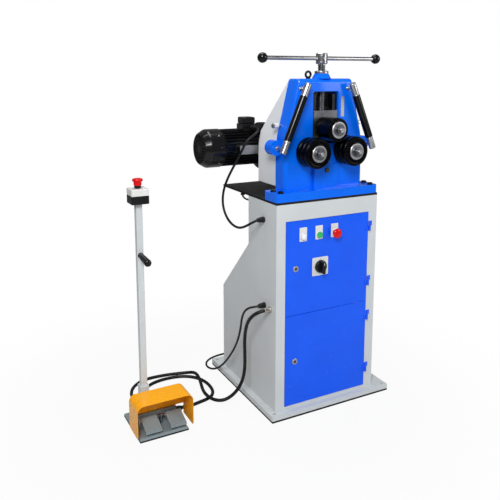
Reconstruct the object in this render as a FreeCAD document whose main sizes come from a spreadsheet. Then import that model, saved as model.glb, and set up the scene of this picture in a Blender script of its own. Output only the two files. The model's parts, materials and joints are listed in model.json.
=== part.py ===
import FreeCAD, Part
import math
import os
import re

import Sketcher

# Ring roller: three rolls on a cast frame, on a cabinet, with a free-standing pedal and stop stand.
# Frame: X = 0 is the machine's centre plane, Y = 0 the cabinet's front face (the front looks along -Y),
# Z = 0 the floor. Every size is in millimetres and every driving dimension is a cell of the sheet.

DIMENSIONS = (
    ("clearance", 0.3, "gap between pieces that move past each other"),
    ("running", 0.05, "radial play of a shaft in its bore"),
    ("sheet_thick", 2, "folded steel sheet"),
    # base and cabinet
    ("mat_thick", 8, "rubber under the base plate"),
    ("base_thick", 20, "base plate"),
    ("base_side", 576, "base plate, square"),
    ("base_left", 268, "centre plane to the plate's left edge"),
    ("base_front", 27, "plate in front of the cabinet"),
    ("anchor_radius", 7, "anchor holes"),
    ("anchor_inset", 18, "anchor hole centre to the plate's edge"),
    ("cabinet_half", 240, "half the cabinet's width"),
    ("foot_depth", 477, "cabinet depth at its foot"),
    ("foot_top", 414, "where the back starts to slope in"),
    ("waist_depth", 229, "cabinet depth under the table"),
    ("waist_top", 667, "where the slope ends"),
    ("cabinet_top", 871, "cabinet height"),
    ("flange_turn", 8, "frame edge turned inwards round the doors"),
    ("shelf_level", 420, "shelf between the compartments"),
    ("shelf_front", 20, "front edge of the shelf"),
    ("shelf_back", 460, "rear edge of the shelf"),
    ("panel_depth", 196, "front of the electrical plate"),
    ("panel_half", 180, "half the electrical plate's width"),
    ("panel_foot", 455, "foot of the electrical plate"),
    ("panel_top", 790, "top of the electrical plate"),
    ("gear_depth", 85, "switchgear depth"),
    ("contactor_width", 45, "one contactor"),
    ("contactor_height", 80, "one contactor"),
    ("contactor_pitch", 52, "contactors side by side"),
    ("rail_height", 35, "mounting rail"),
    ("rail_depth", 8, "mounting rail"),
    # doors
    ("door_half", 197, "half a door's width"),
    ("door_gap", 1.5, "gap round the doors"),
    ("door_proud", 2, "door face in front of the frame"),
    ("door_turn", 8, "door edge turned inwards"),
    ("lower_foot", 41, "lower door, bottom edge"),
    ("lower_top", 419, "lower door, top edge"),
    ("upper_foot", 421, "upper door, bottom edge"),
    ("upper_top", 802, "upper door, top edge"),
    ("hinge_x", 202, "hinge axis"),
    ("hinge_front", 5, "hinge axis in front of the frame"),
    ("knuckle_radius", 5, "hinge knuckle"),
    ("pin_radius", 3, "hinge pin"),
    ("knuckle_length", 20, "one knuckle"),
    ("leaf_width", 14, "hinge leaf"),
    ("hinge_a", 744, "upper door, upper hinge"),
    ("hinge_b", 509, "upper door, lower hinge"),
    ("hinge_c", 357, "lower door, upper hinge"),
    ("hinge_d", 122, "lower door, lower hinge"),
    ("lock_x", 153, "locks, left of the centre plane"),
    ("upper_lock_level", 611, "upper door lock"),
    ("lower_lock_level", 226, "lower door lock"),
    ("lock_radius", 12.5, "lock rim"),
    ("lock_neck", 9, "lock body through the door"),
    ("lock_core", 6, "turning core"),
    ("cam_length", 60, "lock cam, from its axis"),
    ("cam_width", 14, "lock cam"),
    ("cam_thick", 3, "lock cam"),
    # controls on the upper door
    ("control_level", 737, "lamp and buttons"),
    ("first_control", 121, "lamp, left of the centre plane"),
    ("control_pitch", 74, "spacing of lamp and buttons"),
    ("legend_width", 34, "legend plate"),
    ("legend_foot", 718, "legend plate, lower edge"),
    ("legend_top", 774, "legend plate, upper edge"),
    ("legend_thick", 2, "legend plate"),
    ("bezel_radius", 14.5, "ring round a button"),
    ("bezel_depth", 6, "ring in front of its plate"),
    ("barrel_radius", 11, "barrel through the door"),
    ("cap_radius", 9.5, "button cap, lamp lens"),
    ("cap_depth", 4, "cap in front of its ring"),
    ("block_depth", 45, "contact block behind the door"),
    ("block_width", 30, "contact block"),
    ("press", 4, "travel of a button"),
    ("mushroom_radius", 20, "stop button head"),
    ("mushroom_depth", 14, "stop button head"),
    ("switch_x", 39.5, "main switch, left of the centre plane"),
    ("switch_level", 606.5, "main switch"),
    ("switch_side", 75, "main switch plate"),
    ("switch_radius", 26, "main switch knob"),
    ("knob_disc", 14, "main switch knob, disc"),
    ("knob_grip", 18, "main switch knob, grip bar in front of the disc"),
    ("grip_width", 13, "main switch knob, grip bar"),
    ("spindle_radius_small", 5, "main switch shaft"),
    # table and casting
    ("table_thick", 9, "table plate"),
    ("table_depth", 470, "table plate"),
    ("flange_depth", 100, "casting foot flange"),
    ("flange_thick", 34, "casting foot flange"),
    ("flange_corner", 12, "corner of the foot flange"),
    ("casting_front", 35, "front face of the casting body"),
    ("casting_back", 105, "back face of the casting body"),
    ("casting_half", 185, "half width at the foot"),
    ("shoulder_level", 1070, "where the flanks start to lean in"),
    ("flank_half", 179, "half width at the flank"),
    ("flank_level", 1130, "flank"),
    ("neck_half", 165, "half width at the neck"),
    ("neck_level", 1185, "neck"),
    ("crown_half", 127, "half width at the top"),
    ("casting_top", 1345, "top face"),
    ("crown_corner", 12, "top corners"),
    ("front_corner", 18, "corner round the front face"),
    ("wall", 15, "casting wall"),
    ("slot_half", 60, "half the slot's width"),
    ("slot_foot", 1092, "slot, lower end"),
    ("slot_top", 1296, "slot, upper end"),
    ("slot_corner", 10, "upper corners of the slot"),
    ("lug_x", 205, "side lug"),
    ("lug_level", 1082, "side lug"),
    ("lug_radius", 30, "side lug"),
    ("lug_front", 60, "front face of the side lugs"),
    ("boss_foot_radius", 38, "screw boss"),
    ("boss_top_radius", 28, "screw boss"),
    ("boss_height", 19, "screw boss"),
    ("bib_half", 58, "raised pinion housing on the front"),
    ("bib_front", 20, "front of the pinion housing"),
    ("bib_top", 1012, "top of the pinion housing"),
    ("bib_corner", 6, "corners of the pinion housing"),
    ("plug_level", 988, "oil plug"),
    ("plug_radius", 9, "oil plug"),
    ("bolt_radius", 6, "foot bolts"),
    ("bolt_flats", 19, "foot bolt heads"),
    ("bolt_head", 8, "foot bolt heads"),
    ("outer_bolt_x", 219, "rear foot bolts"),
    ("outer_bolt_y", 64, "rear foot bolts"),
    ("inner_bolt_x", 213, "front foot bolts"),
    ("inner_bolt_y", 16, "front foot bolts"),
    ("side_bolt_level", 1165, "bolts in the casting's flanks"),
    ("side_bolt_y", 92, "bolts in the casting's flanks"),
    ("side_bolt_end", 200, "end of a flank bolt"),
    ("side_bolt_radius", 6, "flank bolts"),
    ("eye_x", 49, "lifting eye, left of the centre plane"),
    ("eye_y", 90, "lifting eye"),
    ("eye_radius", 11.5, "lifting eye, middle of its ring"),
    ("eye_rod", 4.5, "lifting eye, radius of its ring"),
    ("eye_collar", 9, "lifting eye, collar radius"),
    ("eye_collar_height", 2, "lifting eye, collar"),
    # rolls and shafts
    ("lower_x", 87, "lower roll axes, from the centre plane"),
    ("lower_level", 1065, "lower roll axes"),
    ("upper_level", 1152, "upper roll axis at rest"),
    ("shaft_radius", 15, "roll shafts"),
    ("roll_front", 52, "front face of the rolls, in front of the cabinet"),
    ("roll_back", 30, "rear face of the rolls"),
    ("roll_radius", 58, "lower rolls"),
    ("groove_radius", 47, "lower rolls, between the rims"),
    ("rim_width", 18, "one rim of a lower roll"),
    ("ring_count", 3, "rings of one lower roll"),
    ("rim_chamfer", 3, "edge of a rim"),
    ("upper_radius", 46, "upper roll"),
    ("upper_front_width", 20, "front ring of the upper roll"),
    ("washer_radius", 32, "end washer"),
    ("washer_thick", 8, "end washer"),
    ("nub_radius", 9, "end bolt"),
    ("nub_length", 20, "end bolt"),
    ("collar_radius", 22, "shaft collar behind a roll"),
    ("bearing_radius", 31, "roll shaft bearings"),
    ("bearing_width", 16, "roll shaft bearings"),
    ("bearing_boss", 42, "shaft housings of the casting"),
    ("shaft_back", 150, "rear end of the lower shafts"),
    # gear train
    ("gear_module", 3, "gear train"),
    ("gear_teeth", 51, "gear on each lower shaft"),
    ("pinion_teeth", 23, "pinion between them"),
    ("pressure", 20, "pressure angle in degrees"),
    ("backlash", 0.35, "play at the pitch circle"),
    ("gear_face", 26, "gear width"),
    ("gear_front", 116, "front face of the gears"),
    ("pinion_bearing", 27.5, "pinion shaft bearings"),
    ("pinion_bearing_width", 13, "pinion shaft bearings"),
    # slide and screw
    ("guide_inner", 38, "guide bars, inner face"),
    ("guide_front", 47, "guide bars, front face"),
    ("guide_back", 75, "guide bars, rear face"),
    ("block_half", 56, "slide block, half width"),
    ("block_front", 36, "slide block, front face"),
    ("block_back", 100, "slide block, rear face"),
    ("block_foot", 1117, "slide block, lower face at rest"),
    ("block_top", 1222, "slide block, upper face at rest"),
    ("screw_y", 70, "pressing screw axis"),
    ("screw_radius", 15, "pressing screw"),
    ("foot_radius", 19, "foot collar of the screw"),
    ("foot_height", 8, "foot collar of the screw"),
    ("foot_depth_in_block", 17, "seat of the foot collar below the block's top"),
    ("screw_bore", 23, "clearance bore of the boss round the screw"),
    ("nut_neck", 26, "screw nut, neck on the boss"),
    ("nut_radius", 27.5, "screw nut"),
    ("nut_height", 10, "screw nut"),
    ("hub_radius", 23, "hub of the T-bar"),
    ("hub_foot", 1401, "hub, lower face"),
    ("hub_top", 1443, "hub, upper face"),
    ("bar_level", 1423, "T-bar"),
    ("bar_radius", 8, "T-bar"),
    ("bar_half", 264.5, "ball knob centres, from the axis"),
    ("ball_radius", 19.5, "ball knobs"),
    # grab handles
    ("handle_y", 5, "grab handle axes"),
    ("handle_foot_x", 212, "lower ends"),
    ("handle_foot_level", 1066, "lower ends"),
    ("handle_top_x", 101.5, "upper ends"),
    ("handle_top_level", 1327, "upper ends"),
    ("handle_end", 51, "length of an end fitting"),
    ("handle_radius", 15, "grip tubes"),
    ("fitting_radius", 13.5, "end fittings"),
    ("stud_radius", 6, "handle studs"),
    ("stud_level", 1308, "upper handle studs"),
    # rear cover
    ("cover_half", 183, "cover, half width at the foot"),
    ("cover_flank_half", 177, "cover, half width at the flank"),
    ("cover_neck_half", 163, "cover, half width at the neck"),
    ("cover_crown_half", 125, "cover, half width at the top"),
    ("cover_foot", 925, "cover, lower edge"),
    ("cover_top", 1338, "cover, upper edge"),
    ("cover_back", 250, "cover, rear face"),
    ("cover_back_level", 1095, "cover, where the back starts to lean in"),
    ("cover_bend_y", 242, "cover, first bend of the back"),
    ("cover_bend_level", 1136, "cover, first bend of the back"),
    ("cover_slope_y", 215, "cover, second bend of the back"),
    ("cover_slope_level", 1180, "cover, second bend of the back"),
    ("cover_wall", 4, "cover wall"),
    # gearbox and motor
    ("worm_offset", 63, "worm axis above the wheel axis"),
    ("drive_y", 352, "motor axis behind the cabinet's front"),
    ("wheel_teeth", 40, "worm wheel"),
    ("wheel_face", 28, "worm wheel"),
    ("worm_radius", 13, "worm"),
    ("worm_half", 40, "half the worm's length"),
    ("case_radius", 66, "gearbox round the wheel"),
    ("case_back", 412, "gearbox, rear face"),
    ("case_half", 75, "gearbox, half width"),
    ("case_wall", 8, "gearbox wall"),
    ("worm_case_half", 36, "gearbox round the worm, half height"),
    ("input_face", 114, "face between gearbox and motor, left of the centre plane"),
    ("flange_radius", 100, "motor and gearbox flanges"),
    ("flange_width", 12, "motor and gearbox flanges"),
    ("neck_radius", 52, "gearbox neck"),
    ("body_front", 138, "motor body, end beside the flange"),
    ("body_back", 321.5, "motor body, end beside the fan cover"),
    ("fan_end", 405, "end of the fan cover"),
    ("core_radius", 67, "motor body without its fins"),
    ("fin_radius", 78, "motor fins"),
    ("fin_thick", 3.4, "motor fins"),
    ("fin_count", 32, "motor fins"),
    ("bore_radius", 60, "motor bore"),
    ("rotor_radius", 40, "rotor"),
    ("stator_margin", 22, "end turns of the winding"),
    ("motor_shaft", 12, "motor shaft"),
    ("seat_radius", 26, "motor bearings"),
    ("seat_width", 14, "motor bearings"),
    ("fan_radius", 62, "cooling fan"),
    ("fan_thick", 14, "cooling fan"),
    ("cowl_radius", 80, "fan cover"),
    ("cowl_wall", 2, "fan cover"),
    ("cowl_chamfer", 12, "fan cover rim"),
    ("grille_outer", 60, "grille openings"),
    ("grille_inner", 16, "grille openings"),
    ("grille_bar", 3, "grille bars"),
    ("grille_count", 24, "grille bars"),
    # terminal box
    ("box_x", 186.5, "terminal box, left of the centre plane"),
    ("box_half", 31, "terminal box base, half width"),
    ("lid_half", 26, "terminal box lid, half width"),
    ("box_front", 319, "terminal box, front face"),
    ("box_back", 385, "terminal box, rear face"),
    ("box_foot", 1122, "terminal box, foot"),
    ("box_split", 1155, "between base and lid"),
    ("box_top", 1184, "top of the lid"),
    # glands
    ("gland_flats", 22, "gland hexagons"),
    ("gland_nut", 9, "length of a gland hexagon"),
    ("gland_radius", 10, "gland dome"),
    ("gland_tip", 8, "gland mouth"),
    ("gland_reach", 30, "gland length"),
    ("terminal_gland_x", 176, "terminal box gland"),
    ("terminal_gland_level", 1141, "terminal box gland"),
    ("motor_gland_y", 98, "motor lead gland on the cabinet"),
    ("motor_gland_level", 798, "motor lead gland on the cabinet"),
    ("mains_gland_y", 88, "mains gland"),
    ("mains_gland_level", 448, "mains gland"),
    ("control_gland_y", 40, "control cable gland"),
    ("control_gland_level", 447, "control cable gland"),
    ("hook_radius", 3, "tool hook"),
    # pedal stand
    ("stand_left", 770, "stand base, left edge"),
    ("stand_right", 575, "stand base, right edge"),
    ("stand_front", 88, "stand base, front edge"),
    ("stand_back", 300, "stand base, rear edge"),
    ("stand_mat", 6, "rubber under the stand base"),
    ("stand_thick", 8, "stand base"),
    ("stand_bevel", 5, "edge of the stand base"),
    ("housing_left", 752, "switch housing, left end"),
    ("housing_right", 592, "switch housing, right end"),
    ("housing_front", 176, "switch housing, front"),
    ("housing_back", 222, "switch housing, rear"),
    ("housing_top", 62, "switch housing, top"),
    ("housing_slope", 12, "slope along the switch housing's upper rear edge"),
    ("guard_left", 780, "guard hood, left side"),
    ("guard_right", 556, "guard hood, right side"),
    ("guard_front", 84, "guard hood, front"),
    ("guard_back", 188, "guard hood, rear"),
    ("guard_foot", 18, "guard hood, lower edge"),
    ("guard_top", 148, "guard hood, top"),
    ("guard_bend", 26, "guard hood, bends"),
    ("guard_toe", 14, "guard hood, front foot of the sides"),
    ("guard_window", 62, "lower edge of the guard's rear wall"),
    ("pedal_width", 64, "one pedal"),
    ("pedal_left", 745, "left pedal, left edge"),
    ("pedal_right", 646, "right pedal, left edge"),
    ("pedal_front", 92, "pedals, front edge"),
    ("pedal_back", 160, "pedals, rear edge"),
    ("pedal_front_level", 34, "pedals, top of the front edge"),
    ("pedal_back_level", 57, "pedals, top of the rear edge"),
    ("pedal_thick", 5, "pedals"),
    ("pivot_y", 162, "pedal pin"),
    ("pivot_level", 46, "pedal pin"),
    ("pivot_radius", 4, "pedal pin"),
    ("barrel_outer", 8, "pedal barrels"),
    ("bracket_thick", 3, "pin brackets"),
    ("post_x", 704, "post, left of the centre plane"),
    ("post_y", 240, "post"),
    ("post_half", 12.5, "post, half width"),
    ("post_top", 883, "post"),
    ("socket_half", 18, "post socket, half width"),
    ("socket_top", 150, "post socket"),
    ("peg_level", 682, "peg handle"),
    ("peg_length", 95, "peg handle"),
    ("peg_droop", 4.8, "slope of the peg handle in degrees"),
    ("peg_root", 10, "peg handle at the post"),
    ("peg_end", 14, "peg handle at its end"),
    ("stop_half", 34, "stop box, half width"),
    ("stop_split", 914, "between the stop box and its lid"),
    ("stop_top", 940, "top of the stop box"),
    ("stop_collar", 13.5, "collar of the stop button"),
    ("stop_collar_height", 7, "collar of the stop button"),
    ("stop_neck", 9, "neck of the stop button"),
    ("stop_head_foot", 951.5, "underside of the stop button's head"),
    ("stop_flare", 961, "where the stop button's head starts to flare"),
    ("stop_rim", 968, "lower edge of the stop button's rim"),
    ("stop_head_top", 978, "top of the stop button's head"),
    # cords
    ("motor_lead_width", 10, "motor lead"),
    ("mains_width", 9, "mains lead"),
    ("cable_width", 14, "control cable and pedal cable"),
    ("coil_x", 40, "mains coil, right of the centre plane"),
    ("coil_y", 668, "mains coil"),
    ("coil_radius", 50, "mains coil, middle of its turns"),
    ("coil_columns", 3, "turns side by side"),
    ("coil_layers", 2, "turns one on another"),
    ("plug_body", 19, "mains plug radius"),
    ("plug_length", 58, "mains plug body"),
    ("plug_tail", 30, "mains plug, strain relief"),
)

AXIS_TURNS = {
    "X": FreeCAD.Rotation(FreeCAD.Vector(0, 1, 0), 90),
    "Y": FreeCAD.Rotation(FreeCAD.Vector(1, 0, 0), -90),
    "Z": FreeCAD.Rotation(),
}
NORMAL_PLANES = {"X": "YZ_Plane", "Y": "XZ_Plane", "Z": "XY_Plane"}
SIDES = (("left", "-"), ("right", ""))
FULL_TURN = 360
HEXAGON = 6
FLAT = 0.01

doc = FreeCAD.newDocument("ring_roller")
sheet = doc.addObject("Spreadsheet::Sheet", "sizes")
aliases = set()
parts = {}


def fill_sheet():
    """Write every driving dimension into the sheet, one row each."""
    for row, (alias, amount, meaning) in enumerate(DIMENSIONS, start=1):
        sheet.set("A%d" % row, meaning)
        sheet.set("B%d" % row, str(amount))
        sheet.setAlias("B%d" % row, alias)
        aliases.add(alias)
    doc.recompute()


def size(alias):
    """The present value of one cell."""
    return float(sheet.get(alias))


def tied(text):
    """The expression with every cell's name read from the sheet."""
    word = re.compile(r"[a-z][a-z_]*")
    return word.sub(lambda found: "sizes." + found[0] if found[0] in aliases else found[0], str(text))


def bind(thing, prop, text):
    thing.setExpression(prop, tied(text))


def part(label, thing):
    """Register a finished sub-part under the name of its file."""
    thing.Label = label
    parts[label] = thing
    return thing


def place(thing, position, turn=None):
    """Tie the position to the sheet, with an optional fixed rotation."""
    if turn is not None:
        thing.Placement = FreeCAD.Placement(FreeCAD.Vector(), turn)
    for axis, text in zip("xyz", position):
        bind(thing, "Placement.Base." + axis, text)


def spot(axis, across, along):
    """X, Y and Z of a point known by its place along one axis and its two places across it."""
    position = list(across)
    position.insert("XYZ".index(axis), along)
    return position


def towards(start, end, sign):
    """The two ends of a span in rising order, where sign tells which way it runs."""
    return (end, start) if sign == "-" else (start, end)


def box(label, x_span, y_span, z_span):
    thing = doc.addObject("Part::Box", label)
    for prop, (low, high) in zip(("Length", "Width", "Height"), (x_span, y_span, z_span)):
        bind(thing, prop, "(%s) - (%s)" % (high, low))
    place(thing, (x_span[0], y_span[0], z_span[0]))
    return thing


def rod(label, axis, across, span, radius, end_radius=None):
    """A cylinder along an axis, or a cone where the far end has its own radius."""
    if end_radius is None:
        thing = doc.addObject("Part::Cylinder", label)
        bind(thing, "Radius", radius)
    else:
        thing = doc.addObject("Part::Cone", label)
        bind(thing, "Radius1", radius)
        bind(thing, "Radius2", end_radius)
    bind(thing, "Height", "(%s) - (%s)" % (span[1], span[0]))
    place(thing, spot(axis, across, span[0]), AXIS_TURNS[axis])
    return thing


def hexagon(label, axis, across, span, flats):
    thing = doc.addObject("Part::Prism", label)
    thing.Polygon = HEXAGON
    bind(thing, "Circumradius", "(%s) / sqrt(3)" % flats)
    bind(thing, "Height", "(%s) - (%s)" % (span[1], span[0]))
    place(thing, spot(axis, across, span[0]), AXIS_TURNS[axis])
    return thing


def cut(label, base, *tools):
    """The base without the tools."""
    thing = doc.addObject("Part::Cut", label)
    thing.Base = base
    thing.Tool = tools[0] if len(tools) == 1 else fuse(label + "_tools", *tools)
    return thing


def fuse(label, *shapes):
    thing = doc.addObject("Part::MultiFuse", label)
    thing.Shapes = list(shapes)
    return thing


def common(label, first, second):
    thing = doc.addObject("Part::MultiCommon", label)
    thing.Shapes = [first, second]
    return thing


def group(label, *solids):
    """Separate solids kept as one sub-part."""
    thing = doc.addObject("Part::Compound", label)
    thing.Links = list(solids)
    return thing


def tube(label, axis, across, span, outer, inner):
    solid = rod(label + "_outside", axis, across, span, outer)
    return cut(label, solid, rod(label + "_inside", axis, across, span, inner))


def attached_sketch(body, plane, name):
    drawing = body.newObject("Sketcher::SketchObject", name)
    support = [item for item in body.Origin.OriginFeatures if item.Role == plane][0]
    drawing.AttachmentSupport = [(support, "")]
    drawing.MapMode = "FlatFace"
    return drawing


def draw_outline(drawing, points):
    """Close a ring of lines through the points, each fixed from the origin by two expressions."""
    count = len(points)
    angles = [2 * math.pi * index / count for index in range(count)]
    corners = [FreeCAD.Vector(math.cos(angle), math.sin(angle), 0) for angle in angles]
    for index, corner in enumerate(corners):
        drawing.addGeometry(Part.LineSegment(corner, corners[(index + 1) % count]), False)
    for index in range(count):
        drawing.addConstraint(Sketcher.Constraint("Coincident", index, 2, (index + 1) % count, 1))
    for index, (corner, point) in enumerate(zip(corners, points)):
        fix(drawing, "DistanceX", index, corner.x, "x%d" % index, point[0])
        fix(drawing, "DistanceY", index, corner.y, "y%d" % index, point[1])


def fix(drawing, kind, index, amount, name, text):
    """Hold one coordinate of a line's start by an expression."""
    number = drawing.addConstraint(Sketcher.Constraint(kind, -1, 1, index, 1, amount))
    drawing.renameConstraint(number, name)
    bind(drawing, "Constraints." + name, text)


def draw_circles(drawing, radii):
    """Circles about the origin, each radius held by an expression."""
    for index, text in enumerate(radii):
        start = len(radii) - index
        circle = Part.Circle(FreeCAD.Vector(), FreeCAD.Vector(0, 0, 1), start)
        drawing.addGeometry(circle, False)
        drawing.addConstraint(Sketcher.Constraint("Coincident", index, 3, -1, 1))
        number = drawing.addConstraint(Sketcher.Constraint("Radius", index, start))
        drawing.renameConstraint(number, "radius%d" % index)
        bind(drawing, "Constraints.radius%d" % index, text)


def pad_along(body, drawing, axis, span):
    """Pad a sketch towards the positive side of its axis."""
    feature = body.newObject("PartDesign::Pad", drawing.Name + "_pad")
    feature.Profile = drawing
    feature.Reversed = axis == "Y"
    bind(feature, "Length", "(%s) - (%s)" % (span[1], span[0]))
    return feature


def slab(label, axis, points, span):
    """A body made by padding an outline along an axis, between two levels."""
    body = doc.addObject("PartDesign::Body", label)
    drawing = attached_sketch(body, NORMAL_PLANES[axis], label + "_outline")
    draw_outline(drawing, points)
    pad_along(body, drawing, axis, span)
    place(body, spot(axis, ("0", "0"), span[0]))
    return body


def turned(label, axis, across, profile):
    """A body made by turning a profile of (along, radius) pairs about an axis."""
    body = doc.addObject("PartDesign::Body", label)
    plane = "XZ_Plane" if axis == "Z" else "XY_Plane"
    drawing = attached_sketch(body, plane, label + "_profile")
    draw_outline(drawing, [pair if axis == "X" else pair[::-1] for pair in profile])
    revolution = body.newObject("PartDesign::Revolution", label + "_revolution")
    revolution.Profile = drawing
    revolution.ReferenceAxis = (drawing, ["H_Axis" if axis == "X" else "V_Axis"])
    revolution.Angle = FULL_TURN
    place(body, spot(axis, across, "0"))
    return body


def toothed(label, axis, across, span, radii, tooth, count):
    """A disc or ring (its radii, outer first) with equal teeth, fins or bars patterned round it."""
    body = doc.addObject("PartDesign::Body", label)
    blank = attached_sketch(body, NORMAL_PLANES[axis], label + "_blank")
    draw_circles(blank, radii)
    pad_along(body, blank, axis, span)
    drawing = attached_sketch(body, NORMAL_PLANES[axis], label + "_tooth")
    draw_outline(drawing, tooth)
    first = pad_along(body, drawing, axis, span)
    pattern = body.newObject("PartDesign::PolarPattern", label + "_pattern")
    pattern.Originals = [first]
    pattern.Axis = (drawing, ["N_Axis"])
    pattern.Angle = FULL_TURN
    bind(pattern, "Occurrences", count)
    body.Tip = pattern
    place(body, spot(axis, across, span[0]))
    return body


def round_edges(body, radius, chosen):
    """Fillet the edges of a body's last feature that the test picks."""
    doc.recompute()
    names = ["Edge%d" % number for number, edge in enumerate(body.Shape.Edges, start=1) if chosen(edge)]
    if not names:
        raise ValueError("no edge to round on " + body.Name)
    fillet = body.newObject("PartDesign::Fillet", body.Name + "_round_" + radius)
    fillet.Base = (body.Tip if body.Tip != fillet else fillet.BaseFeature, names)
    bind(fillet, "Radius", radius)
    return body


def runs_along(edge, axis):
    """True where an edge is parallel to an axis."""
    extents = {"X": edge.BoundBox.XLength, "Y": edge.BoundBox.YLength, "Z": edge.BoundBox.ZLength}
    return extents.pop(axis) > max(extents.values()) and max(extents.values()) < FLAT


def mirrored(points):
    """A symmetric outline from the points of its right half, listed upwards."""
    return list(points) + [("-(%s)" % x, z) for x, z in reversed(points)]


def rectangle(x_span, y_span):
    return [(x_span[0], y_span[0]), (x_span[1], y_span[0]), (x_span[1], y_span[1]), (x_span[0], y_span[1])]


# ---------------------------------------------------------------- base, cabinet and what it holds


def build_base():
    """Base plate and rubber mat with the four anchor holes, and the pedal stand's mat."""
    x_span = ("-base_left", "base_side - base_left")
    y_span = ("-base_front", "base_side - base_front")
    holes = []
    for column in ("-base_left + anchor_inset", "base_side - base_left - anchor_inset"):
        for row in ("-base_front + anchor_inset", "base_side - base_front - anchor_inset"):
            name = "anchor_hole_%d" % len(holes)
            holes.append(rod(name, "Z", (column, row), ("0", "mat_thick + base_thick"), "anchor_radius"))
    plate = box("base_blank", x_span, y_span, ("mat_thick", "mat_thick + base_thick"))
    part("base_plate", cut("base_plate", plate, *holes))
    mat = cut("machine_mat", box("mat_blank", x_span, y_span, ("0", "mat_thick")), *holes)
    stand_x = ("-stand_left", "-stand_right")
    stand_mat = box("stand_mat_strip", stand_x, ("stand_front", "stand_back"), ("0", "stand_mat"))
    part("rubber_mats", group("rubber_mats", mat, stand_mat))


def bolt_holes(label, radius, span):
    """Four upright cylinders at the foot bolts, as holes or as shanks."""
    rods = []
    for side, sign in SIDES:
        for row in ("outer", "inner"):
            across = ("%s%s_bolt_x" % (sign, row), "%s_bolt_y" % row)
            rods.append(rod("%s_%s_%s" % (label, side, row), "Z", across, span, radius))
    return rods


def build_cabinet():
    """Folded cabinet shell, sloping at the back, with its turned front frame and its shelf."""
    foot = "mat_thick + base_thick"
    outside = [
        ("0", foot),
        ("foot_depth", foot),
        ("foot_depth", "foot_top"),
        ("waist_depth", "waist_top"),
        ("waist_depth", "cabinet_top"),
        ("0", "cabinet_top"),
    ]
    inside = [
        ("sheet_thick", foot + " + sheet_thick"),
        ("foot_depth - sheet_thick", foot + " + sheet_thick"),
        ("foot_depth - sheet_thick", "foot_top - sheet_thick / 2"),
        ("waist_depth - sheet_thick", "waist_top - sheet_thick / 2"),
        ("waist_depth - sheet_thick", "cabinet_top - sheet_thick"),
        ("sheet_thick", "cabinet_top - sheet_thick"),
    ]
    outer = slab("cabinet_outside", "X", outside, ("-cabinet_half", "cabinet_half"))
    inner_span = ("-cabinet_half + sheet_thick", "cabinet_half - sheet_thick")
    inner = slab("cabinet_inside", "X", inside, inner_span)
    hollow = cut("cabinet_hollow", outer, inner)
    opening_half = "door_half + door_gap"
    opening_z = ("lower_foot - door_gap", "upper_top + door_gap")
    frame_z = (opening_z[0] + " - sheet_thick", opening_z[1] + " + sheet_thick")
    frame_half = opening_half + " + sheet_thick"
    frame = box("frame_turn", ("-(%s)" % frame_half, frame_half), ("0", "flange_turn"), frame_z)
    opening = box("door_opening", ("-(%s)" % opening_half, opening_half), ("-flange_turn", "flange_turn"), opening_z)
    shelf_y = ("shelf_front", "shelf_back")
    shelf = box("shelf", inner_span, shelf_y, ("shelf_level", "shelf_level + sheet_thick"))
    welded = fuse("cabinet_welded", hollow, frame, shelf)
    holes = bolt_holes("cabinet_bolt_hole", "bolt_radius", ("cabinet_top - flange_depth / 2", "cabinet_top"))
    part("cabinet_shell", cut("cabinet_shell", welded, opening, *holes))


def build_electrics():
    """Electrical plate with a rail, three contactors, a transformer and a terminal row."""
    plate_y = ("panel_depth", "panel_depth + sheet_thick")
    plate = box("panel_plate", ("-panel_half", "panel_half"), plate_y, ("panel_foot", "panel_top"))
    rail_top = "panel_top - contactor_height"
    rail_z = (rail_top + " - rail_height", rail_top)
    rail = box("panel_rail", ("-panel_half", "panel_half"), ("panel_depth - rail_depth", "panel_depth"), rail_z)
    posts = []
    for side, sign in SIDES:
        for row in ("panel_top - rail_height", "panel_top - rail_height * 3"):
            posts.append(rod("panel_post_%d" % len(posts), "Y", (sign + "panel_half * 0.9", row),
                             ("panel_depth + sheet_thick", "waist_depth - sheet_thick"), "rail_depth"))
    pieces = [fuse("panel_with_rail", plate, rail, *posts)]
    gear_y = ("panel_depth - rail_depth - gear_depth", "panel_depth - rail_depth")
    middle = "(%s - rail_height / 2)" % rail_top
    gear_z = (middle + " - contactor_height / 2", middle + " + contactor_height / 2")
    for index in range(3):
        left = "-panel_half + contactor_width / 2 + %d * contactor_pitch" % index
        pieces.append(box("contactor_%d" % index, (left, left + " + contactor_width"), gear_y, gear_z))
    low_z = ("panel_foot + rail_height", "panel_foot + rail_height + contactor_height")
    low_y = ("panel_depth - gear_depth", "panel_depth")
    pieces.append(box("control_transformer", ("panel_half - gear_depth - rail_height", "panel_half - rail_height"),
                      low_y, low_z))
    pieces.append(box("terminal_row", ("-panel_half + rail_height", "0"), ("panel_depth - contactor_width", "panel_depth"),
                      (low_z[0], low_z[0] + " + contactor_width")))
    part("electrical_panel", group("electrical_panel", *pieces))


def lock_bore(label, level, radius, span):
    return rod(label, "Y", ("-lock_x", level), span, radius)


def control_spot(index):
    """X of the lamp, the start button and the stop button, in that order."""
    return "-first_control + %d * control_pitch" % index


def door_tray(label, foot, top):
    """A sheet tray: flat face with all four edges turned inwards."""
    span = ("-door_half", "door_half")
    outer = box(label + "_outside", span, ("-door_proud", "door_turn"), (foot, top))
    inner_x = ("-door_half + sheet_thick", "door_half - sheet_thick")
    inner_y = ("sheet_thick - door_proud", "door_turn + sheet_thick")
    inner_z = (foot + " + sheet_thick", top + " - sheet_thick")
    return cut(label + "_tray", outer, box(label + "_inside", inner_x, inner_y, inner_z))


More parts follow.
